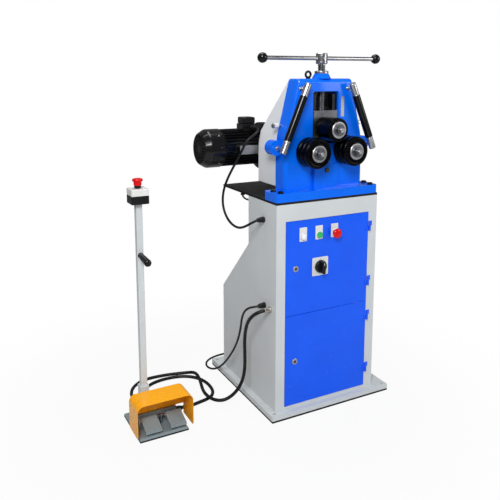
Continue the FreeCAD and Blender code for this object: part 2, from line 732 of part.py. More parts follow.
def knuckle(label, level, on_door):
    """A hinge knuckle with its leaf: the door's stands below the level, the frame's above it."""
    if on_door:
        z_span = (level + " - knuckle_length", level)
        leaf_x = ("hinge_x - knuckle_radius / 2 - leaf_width", "hinge_x - knuckle_radius / 2")
        leaf_y = ("-door_proud - sheet_thick", "-door_proud")
    else:
        z_span = (level + " + clearance", level + " + knuckle_length")
        leaf_x = ("hinge_x", "hinge_x + leaf_width")
        leaf_y = ("-sheet_thick", "0")
    across = ("hinge_x", "-hinge_front")
    solid = fuse(label + "_solid", rod(label + "_barrel", "Z", across, z_span, "knuckle_radius"),
                 box(label + "_leaf", leaf_x, leaf_y, z_span))
    return cut(label, solid, rod(label + "_bore", "Z", across, z_span, "pin_radius + running"))


def lock_housing(label, level):
    """Rim and neck of a quarter-turn lock, bored for its core."""
    rim_y = ("-door_proud - cam_thick", "-door_proud")
    neck_y = ("-door_proud - cam_thick", "door_turn")
    solid = fuse(label + "_solid", lock_bore(label + "_rim", level, "lock_radius", rim_y),
                 lock_bore(label + "_neck", level, "lock_neck", neck_y))
    return cut(label, solid, lock_bore(label + "_bore", level, "lock_core + running", neck_y))


def lock_core(label, level):
    """Turning core with its cam, which hangs down while the lock is open."""
    core = lock_bore(label + "_pin", level, "lock_core", ("-door_proud - cam_thick", "door_turn + 1 + cam_thick"))
    cam = box(label + "_cam", ("-lock_x - cam_width / 2", "-lock_x + cam_width / 2"),
              ("door_turn + 1", "door_turn + 1 + cam_thick"), (level + " - cam_length", level + " + cam_width / 2"))
    return part(label, fuse(label, core, cam))


def build_doors():
    """Both doors with their locks and knuckles; returns the frame's knuckles and the hinge pins."""
    pieces = []
    for label, foot, top, hinges in (("upper_door", "upper_foot", "upper_top", ("hinge_a", "hinge_b")),
                                     ("lower_door", "lower_foot", "lower_top", ("hinge_c", "hinge_d"))):
        level = label.replace("door", "lock_level")
        lock = label.replace("door", "lock")
        holes = [lock_bore(label + "_lock_hole", level, "lock_neck", ("-door_proud", "door_turn"))]
        if label == "upper_door":
            holes += [rod("barrel_hole_%d" % index, "Y", (control_spot(index), "control_level"),
                          ("-door_proud", "sheet_thick"), "barrel_radius") for index in range(3)]
            holes.append(rod("switch_hole", "Y", ("-switch_x", "switch_level"), ("-door_proud", "sheet_thick"),
                             "barrel_radius"))
        part(label, cut(label, door_tray(label, foot, top), *holes))
        fittings = [knuckle("%s_knuckle_%s" % (label, hinge), hinge, True) for hinge in hinges]
        fittings.append(lock_housing(lock + "_housing", level))
        part(label + "_fittings", group(label + "_fittings", *fittings))
        lock_core(lock, level)
        for hinge in hinges:
            pieces.append(knuckle("frame_knuckle_" + hinge, hinge, False))
            pin_z = (hinge + " - knuckle_length", hinge + " + knuckle_length")
            pieces.append(rod("hinge_pin_" + hinge, "Z", ("hinge_x", "-hinge_front"), pin_z, "pin_radius"))
    return pieces


def control_holder(index):
    """Ring, barrel and contact block of a lamp or button, one piece through the door."""
    label = "control_holder_%d" % index
    across = (control_spot(index), "control_level")
    face = "-door_proud - legend_thick"
    ring = rod(label + "_ring", "Y", across, (face + " - bezel_depth", face), "bezel_radius")
    barrel = rod(label + "_barrel", "Y", across, (face, "sheet_thick"), "barrel_radius")
    half = "block_width / 2"
    block_x = ("%s - %s" % (across[0], half), "%s + %s" % (across[0], half))
    block_z = ("control_level - " + half, "control_level + " + half)
    block = box(label + "_block", block_x, ("sheet_thick - door_proud", "block_depth"), block_z)
    solid = fuse(label + "_solid", ring, barrel, block)
    well = rod(label + "_well", "Y", across, (face + " - bezel_depth", "press"), "cap_radius + clearance")
    return cut(label, solid, well)


def build_controls():
    """Lamp, two buttons and the rotary main switch of the upper door."""
    fixed = []
    face = "-door_proud - legend_thick"
    ring_face = face + " - bezel_depth"
    for index in range(3):
        spot_x = control_spot(index)
        x_span = (spot_x + " - legend_width / 2", spot_x + " + legend_width / 2")
        blank = box("legend_blank_%d" % index, x_span, (face, "-door_proud"), ("legend_foot", "legend_top"))
        hole = rod("legend_hole_%d" % index, "Y", (spot_x, "control_level"), (face, "-door_proud"), "barrel_radius")
        fixed.append(cut("legend_%d" % index, blank, hole))
        fixed.append(control_holder(index))
    lamp = (control_spot(0), "control_level")
    fixed.append(rod("lamp_lens", "Y", lamp, (ring_face + " - cap_depth", "press"), "cap_radius"))
    half = "switch_side / 2"
    axis = ("-switch_x", "switch_level")
    side_x = ("-switch_x - " + half, "-switch_x + " + half)
    side_z = ("switch_level - " + half, "switch_level + " + half)
    plate = box("switch_plate", side_x, ("-door_proud - cam_thick", "-door_proud"), side_z)
    neck = rod("switch_neck", "Y", axis, ("-door_proud", "sheet_thick"), "barrel_radius")
    rear_x = ("-switch_x - switch_radius", "-switch_x + switch_radius")
    rear_z = ("switch_level - switch_radius", "switch_level + switch_radius")
    rear = box("switch_block", rear_x, ("sheet_thick - door_proud", "block_depth"), rear_z)
    bore = rod("switch_bore", "Y", axis, ("-door_proud - cam_thick", "bezel_depth * 2"), "spindle_radius_small + running")
    fixed.append(cut("switch_body", fuse("switch_solid", plate, neck, rear), bore))
    part("door_controls", group("door_controls", *fixed))

    start = (control_spot(1), "control_level")
    part("start_button", rod("start_button", "Y", start, (ring_face + " - cap_depth", "-clearance"), "cap_radius"))
    stop = (control_spot(2), "control_level")
    head_back = ring_face + " - press * 2"
    stem = rod("stop_stem", "Y", stop, (head_back, "-clearance"), "cap_radius")
    rim = rod("stop_rim", "Y", stop, (head_back + " - mushroom_depth / 2", head_back), "mushroom_radius")
    crown = rod("stop_crown", "Y", stop, (head_back + " - mushroom_depth", head_back + " - mushroom_depth / 2"),
                "mushroom_radius * 0.7", "mushroom_radius")
    part("stop_button", fuse("stop_button", stem, rim, crown))

    disc_back = "-door_proud - cam_thick - clearance"
    disc_front = "-door_proud - cam_thick - knob_disc"
    disc = rod("knob_disc_solid", "Y", axis, (disc_front, disc_back), "switch_radius * 0.85", "switch_radius")
    shaft = rod("knob_shaft", "Y", axis, (disc_back, "bezel_depth * 2"), "spindle_radius_small")
    grip_z = ("switch_level - grip_width / 2", "switch_level + grip_width / 2")
    grip_x = ("-switch_x - switch_radius * 0.8", "-switch_x + switch_radius * 0.8")
    grip = box("knob_grip_bar", grip_x, (disc_front + " - knob_grip", disc_front), grip_z)
    part("switch_knob", fuse("switch_knob", disc, shaft, grip))


# ---------------------------------------------------------------- table, casting and fasteners

flange_top = "(cabinet_top + table_thick + flange_thick)"
boss_top = "(casting_top + boss_height)"
pinion_level = "(lower_level - sqrt(pow(gear_module * (gear_teeth + pinion_teeth) / 2; 2) - pow(lower_x; 2)))"
motor_level = "(%s + worm_offset)" % pinion_level


def build_table():
    """Table plate under the casting and the gearbox."""
    blank = box("table_blank", ("-cabinet_half", "cabinet_half"), ("0", "table_depth"),
                ("cabinet_top", "cabinet_top + table_thick"))
    holes = bolt_holes("table_bolt_hole", "bolt_radius", ("cabinet_top", "cabinet_top + table_thick"))
    part("table_plate", cut("table_plate", blank, *holes))


def casting_outline(inset, foot, top):
    """Front outline of the casting, taken in by a wall where asked."""
    points = [("casting_half", foot), ("casting_half", "shoulder_level"), ("flank_half", "flank_level"),
              ("neck_half", "neck_level"), ("crown_half", top)]
    return mirrored([("%s - %s" % (x, inset), z) for x, z in points])


def build_casting():
    """The cast frame: a hollow tapered body with shaft housings, slot walls, lugs, foot and boss."""
    body = slab("casting_body", "Y", casting_outline("0", flange_top, "casting_top"), ("casting_front", "casting_back"))
    round_edges(body, "crown_corner", lambda edge: runs_along(edge, "Y")
                and edge.CenterOfMass.z > size("casting_top") - 1)
    round_edges(body, "front_corner", lambda edge: edge.BoundBox.YLength < FLAT
                and edge.CenterOfMass.y < size("casting_front") + 1
                and edge.CenterOfMass.z > size("cabinet_top") + size("flange_thick") * 2)
    inside = casting_outline("wall", flange_top, "casting_top - wall")
    hollow = slab("casting_hollow", "Y", inside, ("casting_front + wall", "casting_back"))
    shell = cut("casting_shell", body, hollow)
    flange = slab("casting_flange", "Z", rectangle(("-cabinet_half", "cabinet_half"), ("0", "flange_depth")),
                  ("cabinet_top + table_thick", flange_top))
    round_edges(flange, "flange_corner", lambda edge: runs_along(edge, "Z"))
    depth = ("casting_front", "casting_back")
    pieces = [shell, flange]
    slot_wall = "slot_half + wall"
    pieces.append(box("slot_walls", ("-(%s)" % slot_wall, slot_wall), depth, ("slot_foot - wall / 2", "casting_top - wall")))
    for side, sign in SIDES:
        across = (sign + "lower_x", "lower_level")
        pieces.append(rod("shaft_housing_" + side, "Y", across, depth, "bearing_boss"))
        pieces.append(rod("lug_" + side, "Y", (sign + "lug_x", "lug_level"), ("lug_front", "casting_back"), "lug_radius"))
    bib = slab("pinion_bib", "Z", rectangle(("-bib_half", "bib_half"), ("bib_front", "casting_front + wall")),
               (flange_top, "bib_top"))
    round_edges(bib, "bib_corner", lambda edge: edge.CenterOfMass.y < size("bib_front") + 1
                and edge.CenterOfMass.z > size("cabinet_top") + size("flange_thick") * 1.5)
    pieces.append(bib)
    pieces.append(rod("pinion_housing", "Y", ("0", pinion_level), ("bib_front", "casting_back"), "pinion_bearing + wall / 2"))
    pieces.append(rod("screw_boss", "Z", ("0", "screw_y"), ("casting_top", boss_top), "boss_foot_radius", "boss_top_radius"))
    raw = fuse("casting_raw", *pieces)

    slot = slab("slot_space", "Y", mirrored([("slot_half", "slot_foot"), ("slot_half", "slot_top")]),
                ("casting_front - 1", "casting_back + 1"))
    round_edges(slot, "slot_corner", lambda edge: runs_along(edge, "Y")
                and edge.CenterOfMass.z > size("slot_top") - 1)
    tools = [slot]
    for side, sign in SIDES:
        across = (sign + "lower_x", "lower_level")
        tools.append(rod("bearing_seat_" + side, "Y", across, ("casting_front + 4", "casting_back"), "bearing_radius"))
        tools.append(rod("seat_mouth_" + side, "Y", across, depth, "collar_radius + clearance"))
        edge = towards("%sside_bolt_end" % sign, "%sneck_half * 0.9" % sign, "" if sign else "-")
        tools.append(rod("side_bolt_hole_" + side, "X", ("side_bolt_y", "side_bolt_level"), edge, "side_bolt_radius"))
    tools.append(rod("pinion_seat", "Y", ("0", pinion_level), ("casting_back - pinion_bearing_width * 3", "casting_back"),
                     "pinion_bearing"))
    tools.append(rod("screw_bore", "Z", ("0", "screw_y"), ("slot_top - wall", boss_top), "screw_bore"))
    foot_span = ("cabinet_top", flange_top)
    tools += bolt_holes("casting_bolt_hole", "bolt_radius", foot_span)
    tools.append(rod("plug_seat", "Y", ("0", "plug_level"), ("bib_front", "bib_front + wall / 2"), "plug_radius"))
    part("frame_casting", cut("frame_casting", raw, *tools))


def build_hardware(hinge_pieces):
    """Hinge halves of the frame, bolts, lifting eye, tool hook and oil plug; and the screw's nut on the boss."""
    pieces = list(hinge_pieces)
    shanks = bolt_holes("foot_bolt_shank", "bolt_radius", ("cabinet_top - bolt_head * 2", flange_top))
    for index, shank in enumerate(shanks):
        row, sign = ("outer", "inner")[index % 2], SIDES[index // 2][1]
        across = ("%s%s_bolt_x" % (sign, row), "%s_bolt_y" % row)
        head = hexagon("foot_bolt_head_%d" % index, "Z", across, (flange_top, flange_top + " + bolt_head"), "bolt_flats")
        nut_z = ("cabinet_top - sheet_thick - bolt_head", "cabinet_top - sheet_thick")
        nut = hexagon("foot_bolt_nut_%d" % index, "Z", across, nut_z, "bolt_flats")
        pieces.append(fuse("foot_bolt_%d" % index, shank, head, nut))
    for side, sign in SIDES:
        back = "" if sign else "-"
        across = ("side_bolt_y", "side_bolt_level")
        shank_x = towards(sign + "side_bolt_end", sign + "neck_half * 0.9", back)
        head_x = towards(sign + "side_bolt_end", "%s(side_bolt_end + bolt_head)" % sign, sign)
        shank = rod("side_bolt_shank_" + side, "X", across, shank_x, "side_bolt_radius")
        head = hexagon("side_bolt_head_" + side, "X", across, head_x, "side_bolt_radius * 3.4")
        pieces.append(fuse("side_bolt_" + side, shank, head))
    across = ("-eye_x", "eye_y")
    collar = rod("eye_collar_disc", "Z", across, ("casting_top", "casting_top + eye_collar_height"), "eye_collar")
    ring = doc.addObject("Part::Torus", "eye_ring")
    bind(ring, "Radius1", "eye_radius")
    bind(ring, "Radius2", "eye_rod")
    place(ring, ("-eye_x", "eye_y", "casting_top + eye_collar_height + eye_radius + eye_rod / 2"), AXIS_TURNS["Y"])
    pieces.append(fuse("lifting_eye", collar, ring))
    top = size("cabinet_top")
    bend = size("waist_depth")
    side_x = -size("cabinet_half") + size("hook_radius")
    route = ((side_x, bend + 58, top), (side_x, bend + 58, top - 14), (side_x, bend + 34, top - 20),
             (side_x, bend + 5, top - 19))
    pieces.append(swept("tool_hook", route, 2 * size("hook_radius")))
    plug_y = ("bib_front - wall / 3", "bib_front + wall / 2")
    pieces.append(rod("oil_plug", "Y", ("0", "plug_level"), plug_y, "plug_radius"))
    part("frame_hardware", group("frame_hardware", *pieces))

    foot = "%s + boss_height / 10" % boss_top
    top = foot + " + nut_height"
    profile = [(boss_top, "screw_bore + 1"), (boss_top, "nut_neck"), (foot, "nut_neck"), (foot, "nut_radius"),
               (top, "nut_radius"), (top, "screw_radius + running"), (foot, "screw_radius + running"),
               (foot, "screw_bore + 1")]
    part("screw_nut", turned("screw_nut", "Z", ("0", "screw_y"), profile))


def build_guides():
    """Hardened bars inside the slot, one each side, and the bearings of the fixed shafts."""
    bars = []
    for side, sign in SIDES:
        x_span = towards(sign + "guide_inner", sign + "slot_half", sign)
        bars.append(box("guide_bar_" + side, x_span, ("guide_front", "guide_back"), ("slot_foot", "slot_top - slot_corner")))
    part("slide_guides", group("slide_guides", *bars))

    rings = []
    for side, sign in SIDES:
        across = (sign + "lower_x", "lower_level")
        for row, front in (("front", "casting_front + 4"), ("rear", "casting_back - bearing_width")):
            span = (front, front + " + bearing_width")
            rings.append(tube("bearing_%s_%s" % (side, row), "Y", across, span, "bearing_radius", "shaft_radius + running"))
    for row, front in (("front", "casting_back - pinion_bearing_width"), ("middle", "cover_back"),
                       ("back", "case_back - case_wall - pinion_bearing_width")):
        span = (front, front + " + pinion_bearing_width")
        rings.append(tube("pinion_bearing_" + row, "Y", ("0", pinion_level), span, "pinion_bearing",
                          "shaft_radius + running"))
    for row, start in (("front", "-body_front - seat_width"), ("back", "-body_back")):
        rings.append(tube("motor_bearing_" + row, "X", ("drive_y", motor_level), (start, start + " + seat_width"),
                          "seat_radius", "motor_shaft + running"))
    part("shaft_bearings", group("shaft_bearings", *rings))


# ---------------------------------------------------------------- grab handles


def handle_rod(label, side, sign, start, end, radius):
    """A cylinder on the slanting axis of a grab handle, between two distances from its lower end."""
    rise = size("handle_top_level") - size("handle_foot_level")
    inward = size("handle_foot_x") - size("handle_top_x")
    lean = math.degrees(math.atan2(inward, rise))
    slant = "sqrt(pow(handle_foot_x - handle_top_x; 2) + pow(handle_top_level - handle_foot_level; 2))"
    across = "(handle_foot_x - handle_top_x) / " + slant
    thing = doc.addObject("Part::Cylinder", "%s_%s" % (label, side))
    bind(thing, "Radius", radius)
    bind(thing, "Height", "(%s) - (%s)" % (end, start))
    turn = FreeCAD.Rotation(FreeCAD.Vector(0, 1, 0), lean if sign else -lean)
    place(thing, ("%s(handle_foot_x - (%s) * %s)" % (sign, start, across), "handle_y",
                  "handle_foot_level + (%s) * (handle_top_level - handle_foot_level) / %s" % (start, slant)), turn)
    return thing


def build_handles():
    """Two grab handles on studs, and the stop post's peg, which is made like their grips."""
    whole = "sqrt(pow(handle_foot_x - handle_top_x; 2) + pow(handle_top_level - handle_foot_level; 2))"
    lean = "(handle_foot_x - handle_top_x) / (handle_top_level - handle_foot_level)"
    grips = []
    steel = []
    for side, sign in SIDES:
        grips.append(handle_rod("grip", side, sign, "handle_end", whole + " - handle_end", "handle_radius"))
        lower = handle_rod("lower_fitting", side, sign, "0", "handle_end", "fitting_radius")
        upper = handle_rod("upper_fitting", side, sign, whole + " - handle_end", whole, "fitting_radius")
        low_x = "%s(handle_foot_x - (lug_level - handle_foot_level) * %s)" % (sign, lean)
        high_x = "%s(handle_foot_x - (stud_level - handle_foot_level) * %s)" % (sign, lean)
        low_stud = rod("lower_stud_" + side, "Y", (low_x, "lug_level"), ("handle_y", "lug_front"), "stud_radius")
        high_stud = rod("upper_stud_" + side, "Y", (high_x, "stud_level"), ("handle_y", "casting_front"), "stud_radius")
        steel.append(fuse("lower_end_" + side, lower, low_stud))
        steel.append(fuse("upper_end_" + side, upper, high_stud))
        bolt_x = "(%s) - fitting_radius * 0.9" % high_x
        dome = rod("stud_bolt_" + side, "Y", (bolt_x, "stud_level"), ("casting_front - bolt_head", "casting_front"),
                   "stud_radius * 0.7", "stud_radius")
        steel.append(dome)
    peg = turned("post_peg", "Y", ("0", "0"), [("0", "0"), ("0", "peg_end"), ("peg_length", "peg_root"),
                                               ("peg_length", "0")])
    droop = math.radians(size("peg_droop"))
    turn = FreeCAD.Rotation(FreeCAD.Vector(1, 0, 0), size("peg_droop"))
    reach = size("peg_length") * math.cos(droop)
    place(peg, ("-post_x", "post_y - post_half + 1 - %.3f" % reach, "peg_level - peg_length * sin(peg_droop)"), turn)
    trim = box("peg_trim", ("-post_x - post_half", "-post_x + post_half"), ("post_y - post_half", "post_y"),
               ("peg_level - post_half", "peg_level + post_half"))
    grips.append(cut("peg_handle", peg, trim))
    part("handle_grips", group("handle_grips", *grips))
    part("handle_fittings", group("handle_fittings", *steel))


# ---------------------------------------------------------------- rolls, shafts and gears


def inner_angle(teeth, radius):
    """Half the angle of an involute tooth at a radius, in radians, as an expression."""
    ratio = "min(1; gear_module * %s / 2 * cos(pressure) / (%s))" % (teeth, radius)
    drawn = "tan(pressure) - pressure * pi / 180 - tan(acos(%s)) + acos(%s) / 1 rad" % (ratio, ratio)
    return "((pi / 2 - backlash / gear_module / 2) / %s + %s)" % (teeth, drawn)


def involute_tooth(teeth):
    """Outline of one tooth: both flanks through root, mid-dedendum, pitch circle and tip."""
    flank = []
    for addendum in ("-1.35", "-0.5", "0", "1"):
        radius = "gear_module * (%s / 2 + %s)" % (teeth, addendum)
        angle = inner_angle(teeth, radius)
        flank.append(("(%s) * sin(%s * 1 rad)" % (radius, angle), "(%s) * cos(%s * 1 rad)" % (radius, angle)))
    return flank + [("-" + x, y) for x, y in reversed(flank)]


def gear(label, across, teeth, turn):
    """A spur gear along Y, turned so that its teeth meet its neighbour's."""
    span = ("gear_front", "gear_front + gear_face")
    root = "gear_module * (%s / 2 - 1.25)" % teeth
    wheel = toothed(label, "Y", across, span, (root, "shaft_radius"), involute_tooth(teeth), teeth)
    wheel.Placement.Rotation = FreeCAD.Rotation(FreeCAD.Vector(0, 1, 0), turn)
    return wheel


def mesh_turn():
    """Turn of the left gear, in degrees, that puts a tooth space against the pinion's tooth."""
    drop = math.sqrt((size("gear_module") * (size("gear_teeth") + size("pinion_teeth")) / 2) ** 2
                     - size("lower_x") ** 2)
    line = 180 - math.degrees(math.atan2(drop, size("lower_x")))
    pinion_pitch = FULL_TURN / size("pinion_teeth")
    gear_pitch = FULL_TURN / size("gear_teeth")
    lead = (line - 90) % pinion_pitch
    space = line + 180 + lead * size("pinion_teeth") / size("gear_teeth")
    return (90 - space - gear_pitch / 2) % gear_pitch


def end_washer(label, across):
    """Large domed washer with the bolt that holds a roll on its shaft."""
    face = "-roll_front"
    front = face + " - washer_thick"
    tip = front + " - nub_length"
    profile = [(face, "0"), (face, "washer_radius"), (front + " + rim_chamfer", "washer_radius"),
               (front, "washer_radius - rim_chamfer"), (front, "nub_radius"),
               (tip + " + rim_chamfer", "nub_radius"), (tip, "nub_radius - rim_chamfer"), (tip, "0")]
    return turned(label, "Y", across, profile)


def roll_shaft(label, across, end, collar_end):
    """Shaft with a collar behind the roll."""
    profile = [("-roll_front", "0"), ("-roll_front", "shaft_radius"), ("roll_back", "shaft_radius"),
               ("roll_back", "collar_radius"), (collar_end, "collar_radius"), (collar_end, "shaft_radius"),
               (end, "shaft_radius"), (end, "0")]
    return turned(label, "Y", across, profile)


def roll_ring(label, across, front, width, rim, groove):
    """One ring of a roll: a chamfered rim in front and a narrower groove bottom behind it."""
    rim_end = "%s + rim_width" % front
    profile = [(front, "shaft_radius"), (front, rim + " - rim_chamfer"), (front + " + rim_chamfer", rim),
               (rim_end + " - rim_chamfer / 3", rim), (rim_end, rim + " - rim_chamfer / 3"), (rim_end, groove),
               ("%s + %s" % (front, width), groove), ("%s + %s" % (front, width), "shaft_radius")]
    return turned(label, "Y", across, profile)


def build_lower_rolls():
    """Both driven rolls: shaft, end washer, three rings and the gear behind the casting."""
    width = "(roll_back + roll_front) / ring_count"
    turns = {"left": mesh_turn(), "right": -mesh_turn()}
    for side, sign in SIDES:
        across = (sign + "lower_x", "lower_level")
        shaft = roll_shaft("lower_shaft_" + side, across, "shaft_back", "casting_front + 4 - clearance")
        washer = end_washer("lower_washer_" + side, across)
        part("%s_shaft" % side, group("%s_shaft" % side, shaft, washer))
        rings = [roll_ring("%s_ring_%d" % (side, index), across, "-roll_front + %d * %s" % (index, width), width,
                           "roll_radius", "groove_radius") for index in range(int(size("ring_count")))]
        part("%s_roll" % side, group("%s_roll" % side, *rings))
        part("%s_gear" % side, gear("%s_gear" % side, across, "gear_teeth", turns[side]))


def build_upper_roll():
    """The free roll: shaft, end washer, front ring and smooth sleeve."""
    across = ("0", "upper_level")
    shaft = roll_shaft("upper_shaft_bar", across, "block_back", "block_front - clearance * 3")
    part("upper_shaft", group("upper_shaft", shaft, end_washer("upper_washer", across)))
    split = "-roll_front + upper_front_width"
    ring = turned("upper_ring", "Y", across, [("-roll_front", "shaft_radius"), ("-roll_front", "upper_radius - rim_chamfer"),
                  ("-roll_front + rim_chamfer", "upper_radius"), (split + " - 1", "upper_radius"),
                  (split, "upper_radius - 1"), (split, "shaft_radius")])
    sleeve = turned("upper_sleeve", "Y", across, [(split, "shaft_radius"), (split, "upper_radius - 1"),
                    (split + " + 1", "upper_radius"), ("roll_back - 1", "upper_radius"),
                    ("roll_back", "upper_radius - 1"), ("roll_back", "shaft_radius")])
    part("upper_roll", group("upper_roll", ring, sleeve))


def build_slide():
    """Slide block grooved for the guide bars, with the upper shaft's bearings and the screw's keeper."""
    x_span = ("-block_half", "block_half")
    blank = box("block_blank", x_span, ("block_front", "block_back"), ("block_foot", "block_top"))
    tools = []
    for side, sign in SIDES:
        groove_x = towards("%s(guide_inner - clearance)" % sign, "%s(block_half + 1)" % sign, sign)
        groove_y = ("guide_front - clearance", "guide_back + clearance")
        tools.append(box("block_groove_" + side, groove_x, groove_y, ("block_foot - 1", "block_top + 1")))
    across = ("0", "upper_level")
    tools.append(rod("block_bore", "Y", across, ("block_front", "block_back"), "collar_radius + clearance"))
    tools.append(rod("block_seat", "Y", across, ("block_front + 2", "block_back"), "bearing_radius"))
    seat_z = ("block_top - foot_depth_in_block", "block_top")
    tools.append(rod("foot_seat", "Z", ("0", "screw_y"), seat_z, "foot_radius + clearance"))
    part("slide_block", cut("slide_block", blank, *tools))
    rings = []
    for row, front in (("front", "block_front + 2"), ("rear", "block_back - bearing_width")):
        rings.append(tube("upper_bearing_" + row, "Y", across, (front, front + " + bearing_width"),
                          "bearing_radius", "shaft_radius + running"))
    keeper_z = ("block_top - foot_depth_in_block + foot_height + clearance * 2", "block_top")
    rings.append(tube("screw_keeper", "Z", ("0", "screw_y"), keeper_z, "foot_radius + clearance", "screw_radius + running"))
    part("slide_bearings", group("slide_bearings", *rings))


def build_screw():
    """Pressing screw with its foot collar, hub and T-bar, and the ball knobs."""
    across = ("0", "screw_y")
    foot = "block_top - foot_depth_in_block + clearance"
    profile = [(foot, "0"), (foot, "foot_radius"), (foot + " + foot_height", "foot_radius"),
               (foot + " + foot_height", "screw_radius"), ("hub_foot", "screw_radius"),
               ("hub_foot", "hub_radius - rim_chamfer"), ("hub_foot + rim_chamfer", "hub_radius"),
               ("hub_top - rim_chamfer", "hub_radius"), ("hub_top", "hub_radius - rim_chamfer"), ("hub_top", "0")]
    screw = turned("screw_bar", "Z", across, profile)
    bar = rod("tee_bar", "X", ("screw_y", "bar_level"), ("-bar_half", "bar_half"), "bar_radius")
    part("spindle", fuse("spindle", screw, bar))
    balls = []
    for side, sign in SIDES:
        ball = doc.addObject("Part::Sphere", "ball_" + side)
        bind(ball, "Radius", "ball_radius")
        place(ball, (sign + "bar_half", "screw_y", "bar_level"))
        bore = rod("ball_bore_" + side, "X", ("screw_y", "bar_level"), ("-bar_half - running", "bar_half + running"),
                   "bar_radius + running")
        balls.append(cut("knob_" + side, ball, bore))
    part("ball_knobs", group("ball_knobs", *balls))


def build_pinion():
    """Pinion shaft with its pinion, and the worm wheel on its rear end."""
    across = ("0", pinion_level)
    end = "case_back - case_wall - clearance"
    bar = rod("pinion_bar", "Y", across, ("casting_back - pinion_bearing_width * 2", end), "shaft_radius")
    part("pinion_shaft", group("pinion_shaft", bar, gear("pinion", across, "pinion_teeth", 0)))
    tip = "(worm_offset - worm_radius - clearance * 2)"
    depth = "(2.25 * %s / (wheel_teeth / 2 + 1))" % tip
    notch = "(pi * %s / wheel_teeth)" % tip
    root = "%s - %s" % (tip, depth)
    tooth = [("%s / 2" % notch, root + " - 1"), ("%s / 4" % notch, tip), ("-%s / 4" % notch, tip),
             ("-%s / 2" % notch, root + " - 1")]
    span = ("drive_y - wheel_face / 2", "drive_y + wheel_face / 2")
    part("worm_wheel", toothed("worm_wheel", "Y", across, span, (root, "shaft_radius"), tooth, "wheel_teeth"))


# ---------------------------------------------------------------- rear cover, gearbox and motor


def cover_shape(label, inset, front, foot, back_inset):
    """The space bounded by the cover's front outline and by its side outline."""
    half = [("cover_half", foot), ("cover_half", "shoulder_level"), ("cover_flank_half", "flank_level"),
            ("cover_neck_half", "neck_level"), ("cover_crown_half", "cover_top - %s" % inset)]
    across = slab(label + "_across", "Y", mirrored([("%s - %s" % (x, inset), z) for x, z in half]), (front, "cover_back"))
    back = [("cover_back", foot), ("cover_back", "cover_back_level"), ("cover_bend_y", "cover_bend_level"),
            ("cover_slope_y", "cover_slope_level"), ("casting_back + cover_wall * 2", "cover_top - %s" % inset)]
    side = [(front, foot)] + [("%s - %s" % (y, back_inset), z) for y, z in back] + [(front, "cover_top - %s" % inset)]
    along = slab(label + "_along", "X", side, ("-cover_half", "cover_half"))
    return common(label, across, along)


def build_cover():
    """Hollow cover behind the casting, open towards it."""
    outer = cover_shape("cover_outside", "0", "casting_back", "cover_foot", "0")
    inner = cover_shape("cover_inside", "cover_wall", "casting_back", "cover_foot + cover_wall", "cover_wall")
    hole = rod("cover_hole", "Y", ("0", pinion_level), ("cover_back - cover_wall * 2", "cover_back"), "pinion_bearing")
    part("gear_cover", cut("gear_cover", outer, inner, hole))


def build_gearbox():
    """Worm gearbox: round wheel case, crossing worm case, neck and input flange, all hollow."""
    wheel = ("0", pinion_level)
    worm = ("drive_y", motor_level)
    half = "worm_case_half"
    worm_y = ("drive_y - " + half, "drive_y + " + half)
    worm_z = ("%s - %s" % (motor_level, half), "%s + %s" % (motor_level, half))
    flange_x = ("-input_face", "-input_face + flange_width")
    solid = fuse("gearbox_solid", rod("wheel_case", "Y", wheel, ("cover_back", "case_back"), "case_radius"),
                 box("worm_case", ("-case_half", "case_half"), worm_y, worm_z),
                 rod("gearbox_neck", "X", worm, ("-input_face", "-case_half"), "neck_radius"),
                 rod("gearbox_flange", "X", worm, flange_x, "flange_radius"))
    wheel_y = ("cover_back + pinion_bearing_width", "case_back - case_wall - pinion_bearing_width")
    hollow = [rod("wheel_space", "Y", wheel, wheel_y, "case_radius - case_wall"),
              rod("wheel_seats", "Y", wheel, ("cover_back", "case_back - case_wall"), "pinion_bearing"),
              rod("worm_space", "X", worm, ("-case_half + case_wall", "case_half - case_wall"), "worm_radius + case_wall"),
              rod("neck_space", "X", worm, ("-input_face", "-case_half + case_wall"), "motor_shaft + case_wall")]
    part("gearbox_housing", cut("gearbox_housing", solid, *hollow))


